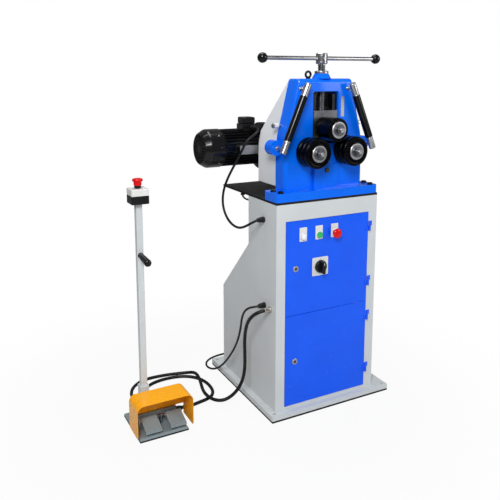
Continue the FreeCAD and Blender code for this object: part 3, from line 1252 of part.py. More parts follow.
def build_motor():
    """Motor: finned housing with end shields and flange, stator, rotor with worm, fan and fan cover."""
    across = ("drive_y", motor_level)
    fin = [("fin_thick / 2", "core_radius - 1"), ("fin_thick / 2", "fin_radius"), ("-fin_thick / 2", "fin_radius"),
           ("-fin_thick / 2", "core_radius - 1")]
    body_x = ("-body_back", "-body_front")
    finned = toothed("motor_body", "X", across, body_x, ("core_radius", "bore_radius"), fin, "fin_count")
    face = "-input_face - flange_width"
    front = [("-body_front - seat_width", "bore_radius"), ("-body_front - seat_width", "seat_radius"),
             ("-body_front", "seat_radius"),
             ("-body_front", "motor_shaft + clearance"), ("-input_face", "motor_shaft + clearance"),
             ("-input_face", "flange_radius"), (face, "flange_radius"), (face, "core_radius + 4"),
             ("-body_front", "core_radius + 4"), ("-body_front", "bore_radius")]
    rear = [("-body_back", "seat_radius"), ("-body_back + seat_width", "seat_radius"),
            ("-body_back + seat_width", "bore_radius"), ("-body_back", "bore_radius")]
    shields = [turned("front_shield", "X", across, front), turned("rear_shield", "X", across, rear)]
    part("motor_housing", fuse("motor_housing", finned, *shields))
    stator_x = ("-body_back + stator_margin", "-body_front - stator_margin")
    part("motor_stator", tube("motor_stator", "X", across, stator_x, "bore_radius", "rotor_radius + clearance * 3"))
    core = rod("rotor_core", "X", across, ("-body_back + stator_margin * 1.5", "-body_front - stator_margin * 1.5"),
               "rotor_radius")
    shaft = rod("rotor_bar", "X", across, ("-body_back - fan_thick * 3", "case_half - case_wall - clearance"), "motor_shaft")
    worm = rod("worm", "X", across, ("-worm_half", "worm_half"), "worm_radius")
    part("rotor", fuse("rotor", core, shaft, worm))
    fan_x = ("-body_back - fan_thick * 2.5", "-body_back - fan_thick * 1.5")
    blade = [("cowl_wall", "seat_radius - 1"), ("cowl_wall", "fan_radius"), ("-cowl_wall", "fan_radius"),
             ("-cowl_wall", "seat_radius - 1")]
    part("motor_fan", toothed("motor_fan", "X", across, fan_x, ("seat_radius", "motor_shaft"), blade, "wheel_teeth / 5"))
    end = "-fan_end"
    cup = [("-body_back", "cowl_radius"), (end + " + cowl_chamfer", "cowl_radius"),
           (end, "cowl_radius - cowl_chamfer"), (end, "0"), (end + " + cowl_wall", "0"),
           (end + " + cowl_wall", "cowl_radius - cowl_chamfer - cowl_wall / 2"),
           (end + " + cowl_chamfer + cowl_wall / 2", "cowl_radius - cowl_wall"), ("-body_back", "cowl_radius - cowl_wall")]
    cowl = turned("cowl_cup", "X", across, cup)
    air_x = (end, end + " + cowl_wall")
    air = tube("grille_air", "X", across, air_x, "grille_outer", "grille_inner")
    bar = [("grille_bar / 2", "grille_inner - 1"), ("grille_bar / 2", "grille_outer + 1"),
           ("-grille_bar / 2", "grille_outer + 1"), ("-grille_bar / 2", "grille_inner - 1")]
    bars = toothed("grille_bars", "X", across, air_x, ("grille_inner",), bar, "grille_count")
    part("motor_fan_cover", cut("motor_fan_cover", cowl, cut("grille_openings", air, bars)))


def build_terminal_box():
    """Terminal box saddled on the motor: base and lid."""
    base_x = ("-box_x - box_half", "-box_x + box_half")
    y_span = ("box_front", "box_back")
    blank = box("terminal_blank", base_x, y_span, ("box_foot - fin_radius / 4", "box_split"))
    saddle = rod("terminal_saddle", "X", ("drive_y", motor_level), base_x, "fin_radius + running / 2")
    lid_x = ("-box_x - lid_half", "-box_x + lid_half")
    inset = "(box_half - lid_half)"
    lid_y = ("box_front + " + inset, "box_back - " + inset)
    lid = slab("terminal_lid", "Z", rectangle(lid_x, lid_y), ("box_split", "box_top"))
    round_edges(lid, "rim_chamfer * 2", lambda edge: edge.CenterOfMass.z > size("box_split") + 1)
    part("terminal_box", group("terminal_box", cut("terminal_base", blank, saddle), lid))


def gland(label, axis, across, wall, sign):
    """Cable gland: a hexagon against the wall and a tapered dome that ends at the cable's mouth."""
    nut_end = "%s + %sgland_nut" % (wall, sign or "1 * ")
    mouth = "%s + %sgland_reach" % (wall, sign or "1 * ")
    nut = hexagon(label + "_nut", axis, across, towards(wall, nut_end, sign), "gland_flats")
    radii = ("gland_tip", "gland_radius") if sign else ("gland_radius", "gland_tip")
    dome = rod(label + "_dome", axis, across, towards(nut_end, mouth, sign), *radii)
    return fuse(label, nut, dome)


def build_glands():
    """Every cable gland of the machine and of its stand."""
    wall = "-cabinet_half"
    glands = [
        gland("terminal_gland", "Y", ("-terminal_gland_x", "terminal_gland_level"), "box_front", "-"),
        gland("motor_lead_gland", "X", ("motor_gland_y", "motor_gland_level"), wall, "-"),
        gland("mains_gland", "X", ("mains_gland_y", "mains_gland_level"), wall, "-"),
        gland("control_gland", "X", ("control_gland_y", "control_gland_level"), wall, "-"),
        gland("pedal_gland", "X", ("(housing_front + housing_back) / 2", "housing_top / 2 + stand_mat / 2"),
              "-housing_right", ""),
        gland("socket_gland", "Y", ("-post_x", "socket_half * 2.5"), "post_y + socket_half", ""),
        gland("stand_gland", "Y", ("-post_x + socket_half * 2.1", "housing_top / 2 + stand_mat / 2"),
              "housing_back", ""),
    ]
    part("cable_glands", group("cable_glands", *glands))


# ---------------------------------------------------------------- pedal and stop stand


def build_stand():
    """Bevelled base plate, switch housing, socket and post."""
    floor = "(stand_mat + stand_thick)"
    plate = slab("stand_plate", "Z", rectangle(("-stand_left", "-stand_right"), ("stand_front", "stand_back")),
                 ("stand_mat", floor))
    doc.recompute()
    bevel = plate.newObject("PartDesign::Chamfer", "stand_bevel_edges")
    rims = [number for number, edge in enumerate(plate.Shape.Edges, start=1)
            if edge.CenterOfMass.z > size("stand_mat") + size("stand_thick") - 1]
    bevel.Base = (bevel.BaseFeature, ["Edge%d" % number for number in rims])
    bind(bevel, "Size", "stand_bevel")
    part("stand_base", plate)
    side = [("housing_front", floor), ("housing_back", floor), ("housing_back", "housing_top - housing_slope"),
            ("housing_back - housing_slope", "housing_top"), ("housing_front", "housing_top")]
    housing = slab("pedal_housing", "X", side, ("-housing_left", "-housing_right"))
    part("pedal_housing", housing)
    across_x = ("-post_x - socket_half", "-post_x + socket_half")
    across_y = ("post_y - socket_half", "post_y + socket_half")
    inner_x = ("-post_x - post_half", "-post_x + post_half")
    inner_y = ("post_y - post_half", "post_y + post_half")
    socket = cut("post_socket", box("socket_outside", across_x, across_y, (floor, "socket_top")),
                 box("socket_inside", inner_x, inner_y, (floor, "socket_top")))
    wall_x = ("-post_x - post_half + sheet_thick", "-post_x + post_half - sheet_thick")
    wall_y = ("post_y - post_half + sheet_thick", "post_y + post_half - sheet_thick")
    post = cut("post_tube", box("post_outside", inner_x, inner_y, (floor, "post_top")),
               box("post_inside", wall_x, wall_y, (floor, "post_top")))
    part("post", group("post", socket, post))


def build_guard():
    """Guard hood folded from sheet: roof, two sides, and a rear wall over the pedals' pivot."""
    outer = slab("guard_outside", "Y", rectangle(("-guard_left", "-guard_right"), ("guard_foot", "guard_top")),
                 ("guard_front", "guard_back"))
    round_edges(outer, "guard_bend", lambda edge: runs_along(edge, "Y")
                and edge.CenterOfMass.z > size("guard_top") - 1)
    round_edges(outer, "guard_toe", lambda edge: runs_along(edge, "X")
                and edge.CenterOfMass.y < size("guard_front") + 1
                and edge.CenterOfMass.z < size("guard_foot") + 1)
    inner = slab("guard_inside", "Y", rectangle(("-guard_left + sheet_thick", "-guard_right - sheet_thick"),
                                                ("guard_foot - 1", "guard_top - sheet_thick")),
                 ("guard_front - 1", "guard_back - sheet_thick"))
    round_edges(inner, "guard_bend - sheet_thick", lambda edge: runs_along(edge, "Y")
                and edge.CenterOfMass.z > size("guard_top") - size("sheet_thick") - 1)
    window = box("guard_window_space", ("-guard_left + sheet_thick", "-guard_right - sheet_thick"),
                 ("guard_back - sheet_thick * 2", "guard_back"), ("guard_foot - 1", "guard_window"))
    part("pedal_guard", cut("pedal_guard", outer, inner, window))


def build_pedals():
    """Two sloping pedals on one pin, with the pin's brackets and the return springs."""
    pin_across = ("pivot_y", "pivot_level")
    for side in ("left", "right"):
        low = "-pedal_" + side
        span = (low, low + " + pedal_width")
        top = [("pedal_front", "pedal_front_level - pedal_thick * 2"), ("pedal_front", "pedal_front_level"),
               ("pedal_back", "pedal_back_level"), ("pedal_back", "pedal_back_level - pedal_thick"),
               ("pedal_front + pedal_thick", "pedal_front_level - pedal_thick"),
               ("pedal_front + pedal_thick", "pedal_front_level - pedal_thick * 2")]
        tread = slab("%s_tread" % side, "X", top, span)
        barrel = rod("%s_barrel" % side, "X", pin_across, span, "barrel_outer")
        bore = rod("%s_bore" % side, "X", pin_across, span, "pivot_radius + running")
        part("%s_pedal" % side, cut("%s_pedal" % side, fuse("%s_pedal_solid" % side, tread, barrel), bore))
    floor = "(stand_mat + stand_thick)"
    middle = "(-pedal_left + pedal_width - pedal_right) / 2"
    pieces = []
    places = (("outer", "-pedal_left - bracket_thick - 1"), ("middle", middle + " - bracket_thick / 2"),
              ("inner", "-pedal_right + pedal_width + 1"))
    for name, start in places:
        x_span = (start, start + " + bracket_thick")
        plate = box("bracket_plate_" + name, x_span, ("pivot_y - barrel_outer", "pivot_y + barrel_outer"),
                    (floor, "pivot_level + barrel_outer"))
        pieces.append(plate)
    pin = rod("pedal_pin", "X", pin_across, (places[0][1], places[2][1] + " + bracket_thick"), "pivot_radius")
    brackets = fuse("pedal_brackets", pin, *pieces)
    springs = []
    edge = "bracket_thick / 2"
    near = (("left", "%s - %s - pedal_thick * 2" % (middle, edge), "%s - %s" % (middle, edge)),
            ("right", "%s + %s" % (middle, edge), "%s + %s + pedal_thick * 2" % (middle, edge)))
    for side, start, end in near:
        springs.append(tube("pedal_spring_" + side, "X", pin_across, (start, end), "barrel_outer - 1",
                            "pivot_radius"))
    part("pedal_pivot", group("pedal_pivot", brackets, *springs))


def build_stop_box():
    """Stop box on the post: black base, light lid with a collar, and the red mushroom."""
    half = "stop_half"
    x_span = ("-post_x - " + half, "-post_x + " + half)
    y_span = ("post_y - " + half, "post_y + " + half)
    base = slab("stop_base", "Z", rectangle(x_span, y_span), ("post_top", "stop_split"))
    lid = slab("stop_lid", "Z", rectangle(x_span, y_span), ("stop_split", "stop_top"))
    for body in (base, lid):
        round_edges(body, "rim_chamfer", lambda edge: runs_along(edge, "Z"))
    across = ("-post_x", "post_y")
    collar = rod("stop_collar_ring", "Z", across, ("stop_top", "stop_top + stop_collar_height"), "stop_collar")
    bore = rod("stop_bore", "Z", across, ("stop_split + press", "stop_top + stop_collar_height"), "stop_neck + clearance")
    part("stop_box", group("stop_box", base, cut("stop_lid_bored", fuse("stop_lid_solid", lid, collar), bore)))
    profile = [("stop_split + press * 2 + 1", "0"), ("stop_split + press * 2 + 1", "stop_neck"),
               ("stop_head_foot", "stop_neck"), ("stop_head_foot", "stop_collar - 1"), ("stop_flare", "stop_collar"),
               ("stop_rim", "mushroom_radius"), ("stop_rim + sheet_thick", "mushroom_radius"),
               ("(stop_rim + stop_head_top) / 2 + sheet_thick", "mushroom_radius - sheet_thick"),
               ("stop_head_top", "mushroom_radius * 0.65"),
               ("stop_head_top", "0")]
    part("post_stop_button", turned("post_stop_button", "Z", across, profile))


# ---------------------------------------------------------------- cords


def smooth_path(label, route):
    """A wire of straight runs joined by tangent arcs, as large as the runs beside them allow."""
    points = [FreeCAD.Vector(*point) for point in route]
    edges = []
    radii = []
    start = points[0]
    for before, corner, after in zip(points, points[1:], points[2:]):
        into = corner - before
        out = after - corner
        turn = into.getAngle(out)
        reach = 0.45 * min(into.Length, out.Length)
        radius = reach / math.tan(turn / 2)
        into.normalize()
        out.normalize()
        inward = out - into
        inward.normalize()
        middle = corner + inward * (radius / math.cos(turn / 2) - radius)
        arc_start = corner - into * reach
        edges.append(Part.LineSegment(start, arc_start).toShape())
        start = corner + out * reach
        edges.append(Part.Arc(arc_start, middle, start).toShape())
        radii.append(round(radius))
    edges.append(Part.LineSegment(start, points[-1]).toShape())
    path = Part.Wire(edges)
    print("%s: %.0f mm long, radii %s" % (label, path.Length, radii))
    return path


def swept(label, route, width):
    """A round tube along a route, checked against its section times its length."""
    path = smooth_path(label, route)
    first = FreeCAD.Vector(*route[0])
    circle = Part.makeCircle(width / 2, first, FreeCAD.Vector(*route[1]) - first)
    solid = path.makePipeShell([Part.Wire(circle)], True, False)
    expected = math.pi * (width / 2) ** 2 * path.Length
    if abs(solid.Volume / expected - 1) > 0.01:
        raise ValueError("%s has the wrong volume" % label)
    thing = doc.addObject("Part::Feature", label)
    thing.Shape = solid
    thing.Placement = FreeCAD.Placement()
    return thing


def build_cords():
    """Motor lead, mains lead with its coil and plug, control cable and pedal cable."""
    reach = size("gland_reach")
    side = -size("cabinet_half") - reach
    terminal = (-size("terminal_gland_x"), size("box_front") - reach, size("terminal_gland_level"))
    motor_end = (side, size("motor_gland_y"), size("motor_gland_level"))
    motor_lead = [terminal, (-178, 255, 1139), (-203, 230, 1125), (-245, 236, 1097), (-259, 248, 1058),
                  (-272, 263, 1018), (-286, 281, 981), (-298, 297, 944), (-308, 310, 907), (-312, 322, 868),
                  (-311, 328, 829), (-309, 318, 796), (-307, 292, 769), (-306, 259, 755), (-306, 224, 750),
                  (-307, 189, 752), (-306, 156, 760), (-301, 126, 774), (-289, 105, 789), motor_end]
    part("motor_lead", swept("motor_lead", motor_lead, size("motor_lead_width")))

    mains_start = (side, size("mains_gland_y"), size("mains_gland_level"))
    coil_x = size("coil_x")
    coil_edge = size("coil_y") - size("coil_radius") - size("mains_width")
    rest = size("mains_width") / 2
    mains = [mains_start, (-290, 96, 446), (-302, 120, 434), (-303, 150, 408), (-298, 178, 372), (-290, 202, 330),
             (-284, 226, 284), (-281, 254, 236), (-280, 286, 190), (-281, 322, 146), (-282, 360, 104),
             (-284, 400, 66), (-288, 440, 34), (-295, 480, 12), (-303, 516, rest), (-300, 552, rest),
             (-280, 582, rest), (-250, 602, rest), (-212, 612, rest), (-172, 615, rest), (-130, 613.3, rest),
             (-88, 611.5, rest), (-46, 610.2, rest), (-4, coil_edge + 0.4, rest), (coil_x, coil_edge, rest)]
    part("mains_lead", swept("mains_lead", mains, size("mains_width")))
    across = ("coil_x", "coil_y")
    spread = "coil_columns * mains_width / 2"
    height = "coil_layers * mains_width"
    profile = [("0", "coil_radius - " + spread), ("0", "coil_radius + " + spread), (height, "coil_radius + " + spread),
               (height, "coil_radius - " + spread)]
    part("mains_coil", turned("mains_coil", "Z", across, profile))
    start = "coil_x - coil_radius"
    lying = ("coil_y + coil_radius + mains_width", "plug_body")
    tail = rod("plug_relief", "X", lying, (start, start + " + plug_tail"), "mains_width", "mains_width / 2 + 1")
    body = rod("plug_case", "X", lying, (start + " - plug_length", start), "plug_body", "plug_body * 0.8")
    pins = []
    for offset in ("-plug_body / 2", "plug_body / 2"):
        pin_across = ("%s + %s" % (lying[0], offset), lying[1])
        pin_x = (start + " - plug_length * 1.33", start + " - plug_length")
        pins.append(rod("plug_pin_%d" % len(pins), "X", pin_across, pin_x, "plug_body / 8"))
    part("mains_plug", fuse("mains_plug", tail, body, *pins))

    low = size("cable_width") / 2 + 0.5
    over = low + size("cable_width") + 1
    control_start = (side, size("control_gland_y"), size("control_gland_level"))
    control_end = (-size("post_x"), size("post_y") + size("socket_half") + reach, size("socket_half") * 2.5)
    control = [control_start, (-292, 46, 442), (-306, 66, 424), (-310, 96, 394), (-306, 124, 356), (-301, 144, 314),
               (-299, 152, 272), (-299, 150, 230), (-300, 147, 188), (-303, 147, 146), (-311, 152, 106),
               (-327, 161, 70), (-350, 172, 42), (-378, 183, 26), (-404, 200, over), (-421, 232, over), (-425, 270, over),
               (-419, 312, over - 3), (-408, 354, over - 2), (-397, 396, over), (-389, 438, over),
               (-390, 476, over - 2), (-410, 504, low + 4), (-446, 522, low), (-490, 533, low), (-536, 539, low),
               (-582, 541, low), (-624, 532, low), (-659, 508, low), (-685, 474, low), (-699, 432, low + 2),
               (-705, 390, low + 12), (-705, 348, low + 28), (-704, 316, control_end[2]), control_end]
    part("control_cable", swept("control_cable", control, size("cable_width")))

    level = size("housing_top") / 2 + size("stand_mat") / 2
    pedal_start = (-size("housing_right") + reach, (size("housing_front") + size("housing_back")) / 2, level)
    pedal_end = (-size("post_x") + size("socket_half") * 2.1,
                 size("housing_back") + reach, level)
    pedal = [pedal_start, (-538, 204, 31), (-512, 218, 20), (-486, 236, 11), (-456, 248, low), (-424, 254, low),
             (-395, 270, low), (-376, 300, low), (-369, 340, low), (-369, 382, low), (-380, 424, low), (-402, 460, low),
             (-436, 486, low), (-478, 499, low), (-524, 502, low), (-568, 496, low), (-606, 479, low), (-634, 450, low),
             (-650, 412, low), (-659, 372, low + 2), (-665, 334, low + 10), (-666.2, 296, level - 4), pedal_end]
    part("pedal_cable", swept("pedal_cable", pedal, size("cable_width")))


# ---------------------------------------------------------------- checks and export


def export():
    """Check every object and every shape, then write one file for each sub-part."""
    doc.recompute()
    broken = [item.Name for item in doc.Objects if {"Invalid", "Error"} & set(item.State)]
    for label, thing in parts.items():
        shape = thing.Shape
        if shape.isNull() or not shape.isValid() or not shape.Solids:
            broken.append(label)
    if broken:
        raise ValueError("not built: " + ", ".join(broken))
    os.makedirs("parts", exist_ok=True)
    for label, thing in parts.items():
        thing.Shape.exportStep("parts/%s.step" % label)
    print("%d sub-parts written" % len(parts))


fill_sheet()
build_base()
build_cabinet()
build_electrics()
frame_hinges = build_doors()
build_controls()
build_table()
build_casting()
build_hardware(frame_hinges)
build_guides()
build_handles()
build_lower_rolls()
build_upper_roll()
build_slide()
build_screw()
build_pinion()
build_cover()
build_gearbox()
build_motor()
build_terminal_box()
build_glands()
build_stand()
build_guard()
build_pedals()
build_stop_box()
build_cords()
export()
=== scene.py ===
import json
import math

import bmesh
import bpy
import numpy as np
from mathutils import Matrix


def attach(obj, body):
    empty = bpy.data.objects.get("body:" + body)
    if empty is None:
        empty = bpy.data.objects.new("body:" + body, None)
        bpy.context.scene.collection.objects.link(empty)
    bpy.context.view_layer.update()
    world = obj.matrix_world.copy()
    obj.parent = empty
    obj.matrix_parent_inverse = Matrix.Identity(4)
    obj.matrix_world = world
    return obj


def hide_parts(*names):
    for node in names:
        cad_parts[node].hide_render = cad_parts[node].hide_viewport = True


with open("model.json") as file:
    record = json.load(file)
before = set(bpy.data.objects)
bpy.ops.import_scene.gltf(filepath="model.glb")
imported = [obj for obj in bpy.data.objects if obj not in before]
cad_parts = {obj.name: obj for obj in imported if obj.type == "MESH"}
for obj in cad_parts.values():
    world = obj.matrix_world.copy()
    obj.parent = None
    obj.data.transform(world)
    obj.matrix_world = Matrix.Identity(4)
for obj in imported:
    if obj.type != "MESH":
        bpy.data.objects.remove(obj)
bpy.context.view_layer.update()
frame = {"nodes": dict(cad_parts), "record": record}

NODES = frame["nodes"]
BODY_OF = {node: body for body, nodes in frame["record"]["behaviour"]["bodies"].items() for node in nodes}
MM = 0.001
X_AXIS, Y_AXIS, Z_AXIS = np.eye(3)

# places of the main axes and faces, in millimetres
LOWER_X, LOWER_LEVEL, UPPER_LEVEL = 87, 1065, 1152
ROLL_FRONT, ROLL_BACK = -52, 30
SCREW_Y, BAR_LEVEL, BAR_HALF = 70, 1423, 264.5
MOTOR_Y, MOTOR_LEVEL = 352, 1059.07
CASTING_TOP, FLANGE_TOP = 1345, 914
HINGE_X, HINGE_Y = 202, -5
UPPER_HINGES, LOWER_HINGES = (744, 509), (357, 122)
LOCK_X, UPPER_LOCK_LEVEL, LOWER_LOCK_LEVEL = -153, 611, 226
LAMP_X, START_X, STOP_X, CONTROL_LEVEL = -121, -47, 27, 737
SWITCH_X, SWITCH_LEVEL = -39.5, 606.5
CABINET_SIDE = -240
POST_X, POST_Y, STOP_BOX_TOP = -704, 240, 940
MAINS_WIDTH, COIL_X, COIL_Y = 9, 40, 668

# degrees between two faces past which their edge stays a hard line, on new pieces and on the CAD's own
NEW_EDGE, CAD_EDGE = 38, 32


# ---------------------------------------------------------------- colours and node trees


def linear(code):
    """sRGB hex text to a linear RGBA colour."""
    parts = np.array([int(code[place:place + 2], 16) for place in (0, 2, 4)]) / 255
    light = np.where(parts <= 0.04045, parts / 12.92, ((parts + 0.055) / 1.055) ** 2.4)
    return (*light.tolist(), 1.0)


def add(tree, kind, settings=None, inputs=None):
    """Add one node: settings are its own properties, inputs are values or sockets by input name or number."""
    node = tree.nodes.new(kind)
    for name, value in (settings or {}).items():
        setattr(node, name, value)
    for name, value in (inputs or {}).items():
        if isinstance(value, bpy.types.NodeSocket):
            tree.links.new(value, node.inputs[name])
        else:
            node.inputs[name].default_value = value
    return node


def surface(name, colour, roughness, metallic=0.0, **more):
    """A material with its shader's own constant values set, and its node tree."""
    material = bpy.data.materials.new(name)
    material.use_nodes = True
    tree = material.node_tree
    shader = tree.nodes["Principled BSDF"]
    shader.inputs["Base Color"].default_value = linear(colour)
    shader.inputs["Roughness"].default_value = roughness
    shader.inputs["Metallic"].default_value = metallic
    for socket, value in more.items():
        shader.inputs[socket.replace("_", " ")].default_value = value
    place = add(tree, "ShaderNodeTexCoord").outputs["Object"]
    return material, tree, shader, place


def noise(tree, vector, scale, detail):
    """Noise with one swing each 1/scale metres."""
    return add(tree, "ShaderNodeTexNoise", None,
               {"Vector": vector, "Scale": scale, "Detail": detail}).outputs["Fac"]


def spread(tree, value, low, high, start=0.3, end=0.7):
    """A pattern's middle range stretched over low to high."""
    node = add(tree, "ShaderNodeMapRange", None, {"Value": value, "From Min": start, "From Max": end,
                                                  "To Min": low, "To Max": high})
    return node.outputs["Result"]


def tint(tree, value, first, second):
    """A colour between two hex colours, led by a pattern."""
    node = add(tree, "ShaderNodeMix", {"data_type": "RGBA"},
               {0: value, 6: linear(first), 7: linear(second)})
    return node.outputs[2]


def bump(tree, shader, height, depth):
    """Raise the surface by a pattern, depth in metres."""
    node = add(tree, "ShaderNodeBump", None, {"Height": height, "Distance": depth, "Strength": 1.0})
    tree.links.new(node.outputs["Normal"], shader.inputs["Normal"])


# ---------------------------------------------------------------- finishes


def gloss_enamel(name, colour, dark, swell=0.0, roughness=0.2):
    """Stove enamel, sprayed: a glossy coat with fine orange peel, and over a casting the soft swells
    of the filled sand surface, so that each highlight runs along an edge in a slightly broken line."""
    material, tree, shader, place = surface(name, colour, roughness, Specular_IOR_Level=0.2, Coat_Weight=0.35,
                                            Coat_Roughness=0.05)
    cloud = noise(tree, place, 7, 2.0)
    tree.links.new(tint(tree, spread(tree, cloud, 0, 1), dark, colour), shader.inputs["Base Color"])
    tree.links.new(spread(tree, noise(tree, place, 60, 4.0), roughness - 0.04, roughness + 0.08),
                   shader.inputs["Roughness"])
    peel = noise(tree, place, 400, 2.0)
    if swell:
        slow = noise(tree, place, 45, 2.0)
        peel = add(tree, "ShaderNodeMath", {"operation": "MULTIPLY_ADD"}, {0: slow, 1: swell, 2: peel}).outputs[0]
    bump(tree, shader, peel, 0.000005)
    return material


def powder_coat(name, colour, dark, roughness=0.42):
    """Baked powder coat on sheet steel: semi-gloss, with a fine even orange peel and faint hand marks."""
    material, tree, shader, place = surface(name, colour, roughness, Specular_IOR_Level=0.3)
    cloud = noise(tree, place, 5, 3.0)
    tree.links.new(tint(tree, spread(tree, cloud, 0, 1), dark, colour), shader.inputs["Base Color"])
    tree.links.new(spread(tree, noise(tree, place, 35, 4.0), roughness - 0.05, roughness + 0.06),
                   shader.inputs["Roughness"])
    bump(tree, shader, noise(tree, place, 700, 2.0), 0.000008)
    return material


def turned_steel(name, colour, shade, centre, along, roughness=0.28):
    """Lathe-turned steel: fine rings round its axis, which stretch each highlight across the rings."""
    material, tree, shader, place = surface(name, colour, roughness, 1.0)
    moved = add(tree, "ShaderNodeMapping", None,
                {"Vector": place, "Location": tuple(-np.array(centre, float) * MM)}).outputs[0]
    split = add(tree, "ShaderNodeSeparateXYZ", None, {0: moved}).outputs
    first, second = (number for number in range(3) if number != along)
    flat = add(tree, "ShaderNodeCombineXYZ", None, {0: split[first], 1: split[second]}).outputs[0]
    radius = add(tree, "ShaderNodeVectorMath", {"operation": "LENGTH"}, {0: flat}).outputs["Value"]
    slow = add(tree, "ShaderNodeMath", {"operation": "MULTIPLY"}, {0: split[along], 1: 0.1}).outputs[0]
    rings = add(tree, "ShaderNodeCombineXYZ", None, {0: radius, 1: slow}).outputs[0]
    # tool marks 0.5 mm apart, with broader bands every few millimetres
    marks = noise(tree, rings, 2000, 1.0)
    bands = noise(tree, rings, 90, 2.0)
    tree.links.new(spread(tree, bands, roughness - 0.04, roughness + 0.08), shader.inputs["Roughness"])
    tree.links.new(tint(tree, spread(tree, bands, 0, 1), shade, colour), shader.inputs["Base Color"])
    bump(tree, shader, marks, 0.000002)
    return material


def metal(name, colour, shade, roughness=0.3, grain=900):
    """Plated or machined metal: bright, with faint clouds left by the bath or the cutting oil."""
    material, tree, shader, place = surface(name, colour, roughness, 1.0)
    tree.links.new(tint(tree, spread(tree, noise(tree, place, 20, 3.0), 0, 1), shade, colour),
                   shader.inputs["Base Color"])
    tree.links.new(spread(tree, noise(tree, place, 40, 2.0), roughness - 0.03, roughness + 0.04),
                   shader.inputs["Roughness"])
    bump(tree, shader, noise(tree, place, grain, 2.0), 0.000001)
    return material


def moulded(name, colour, light, roughness, grain=900, depth=0.000006):
    """Injection-moulded plastic: even colour and a fine moulded grain."""
    material, tree, shader, place = surface(name, colour, roughness, Specular_IOR_Level=0.35)
    tree.links.new(tint(tree, spread(tree, noise(tree, place, 30, 3.0), 0, 1), light, colour),
                   shader.inputs["Base Color"])
    tree.links.new(spread(tree, noise(tree, place, 120, 3.0), roughness - 0.04, roughness + 0.06),
                   shader.inputs["Roughness"])
    bump(tree, shader, noise(tree, place, grain, 2.0), depth)
    return material


def matt(name, colour, light, roughness, grain, depth, cover=0.7):
    """Rubber or a drawn cable sheath: matt to satin black, greyed by dust that lies in soft patches."""
    material, tree, shader, place = surface(name, colour, roughness, Specular_IOR_Level=0.3)
    dust = spread(tree, noise(tree, place, 30, 5.0), 0, 1, 0.4, 0.4 + cover / 2)
    tree.links.new(tint(tree, dust, colour, light), shader.inputs["Base Color"])
    tree.links.new(spread(tree, noise(tree, place, 200, 3.0), roughness - 0.06, roughness + 0.08),
                   shader.inputs["Roughness"])
    bump(tree, shader, noise(tree, place, grain, 3.0), depth)
    return material


def turned_on(name, centre, along):
    """Bright turned steel on the axis through a centre."""
    return turned_steel(name, "C2C2C5", "9C9CA0", centre, along)


FINISHES = {
    "cast_enamel": gloss_enamel("blue_stove_enamel_on_cast_iron", "006EF8", "0068F0", swell=2.2),
    "door_enamel": gloss_enamel("blue_stove_enamel_on_door_sheet", "005CFA", "0057F2"),
    "cabinet_coat": powder_coat("light_grey_powder_coat", "D0D5D7", "CACFD2"),
    "cover_enamel": powder_coat("grey_white_enamel_on_fabricated_steel", "E0E2E6", "D9DCE0", 0.32),
    "plate_coat": powder_coat("black_powder_coat_on_plate", "08080A", "060607", 0.5),
    "stand_coat": powder_coat("mid_grey_powder_coat_on_plate", "87959A", "7E8C91", 0.36),
    "guard_coat": gloss_enamel("signal_yellow_enamel_on_sheet", "FFB00E", "FFAC0A", roughness=0.26),
    "motor_enamel": gloss_enamel("black_enamel_on_die_cast_aluminium", "0A0A0C", "121214", swell=3),
    "black_oxide": metal("blackened_and_oiled_tool_steel", "0E0E10", "1B1B1E", 0.26),
    "zinc": metal("zinc_plated_steel", "C9CACC", "ABACAF"),
    "nickel": metal("nickel_plated_brass", "D4D1CA", "BAB6AC", 0.2),
    "bronze": metal("machined_bronze", "C09A52", "A07C3C", 0.3),
    "dull_brass": metal("oiled_brass_plug", "5B5A3C", "3A3C2C", 0.42),
    "machined": metal("milled_steel", "7B7D82", "606267", 0.34, 1600),
    "dark_machined": metal("oiled_dark_steel", "3A3B3F", "2A2B2E", 0.36, 1600),
    "alloy_plate": metal("matt_anodised_alloy_sheet", "C6C8CA", "B4B6B8", 0.42, 2000),
    "gloss_black": moulded("polished_black_phenolic", "060607", "0B0B0C", 0.12, 500, 0.000001),
    "satin_black": moulded("moulded_black_nylon", "0A0A0B", "101012", 0.36),
    "grey_nylon": moulded("moulded_dark_grey_polyamide", "3A3C40", "44464A", 0.45),
    "white_abs": moulded("moulded_pale_grey_abs", "E4E5E2", "DCDDDA", 0.34),
    "lamp_white": moulded("frosted_white_polycarbonate", "F4F6F8", "ECEFF2", 0.2, 900, 0.000002),
    "red_abs": moulded("moulded_signal_red_abs", "E00614", "D40410", 0.22, 900, 0.000002),
    "green_abs": moulded("translucent_green_polycarbonate", "3CC464", "30B458", 0.22, 900, 0.000002),
    "ink": matt("black_printed_ink", "161618", "1C1C1E", 0.5, 900, 0.000004, 0.4),
    "cable": matt("black_pvc_cable_sheath", "0C0C0E", "1A1A1C", 0.42, 1200, 0.000006),
    "rubber": matt("black_vulcanised_rubber", "0C0C0D", "18181A", 0.7, 500, 0.00001, 0.5),
    "copper": metal("varnished_copper_winding", "9A4F28", "7C3C1E", 0.4),
    "turned_left": turned_on("turned_steel_of_the_left_roll", (-LOWER_X, 0, LOWER_LEVEL), 1),
    "turned_right": turned_on("turned_steel_of_the_right_roll", (LOWER_X, 0, LOWER_LEVEL), 1),
    "turned_upper": turned_on("turned_steel_of_the_upper_roll", (0, 0, UPPER_LEVEL), 1),
    "turned_screw": turned_on("turned_steel_of_the_screw", (0, SCREW_Y, 0), 2),
    "turned_bar": turned_on("turned_steel_of_the_tee_bar", (0, SCREW_Y, BAR_LEVEL), 0),
}


# ---------------------------------------------------------------- shapes, in millimetres


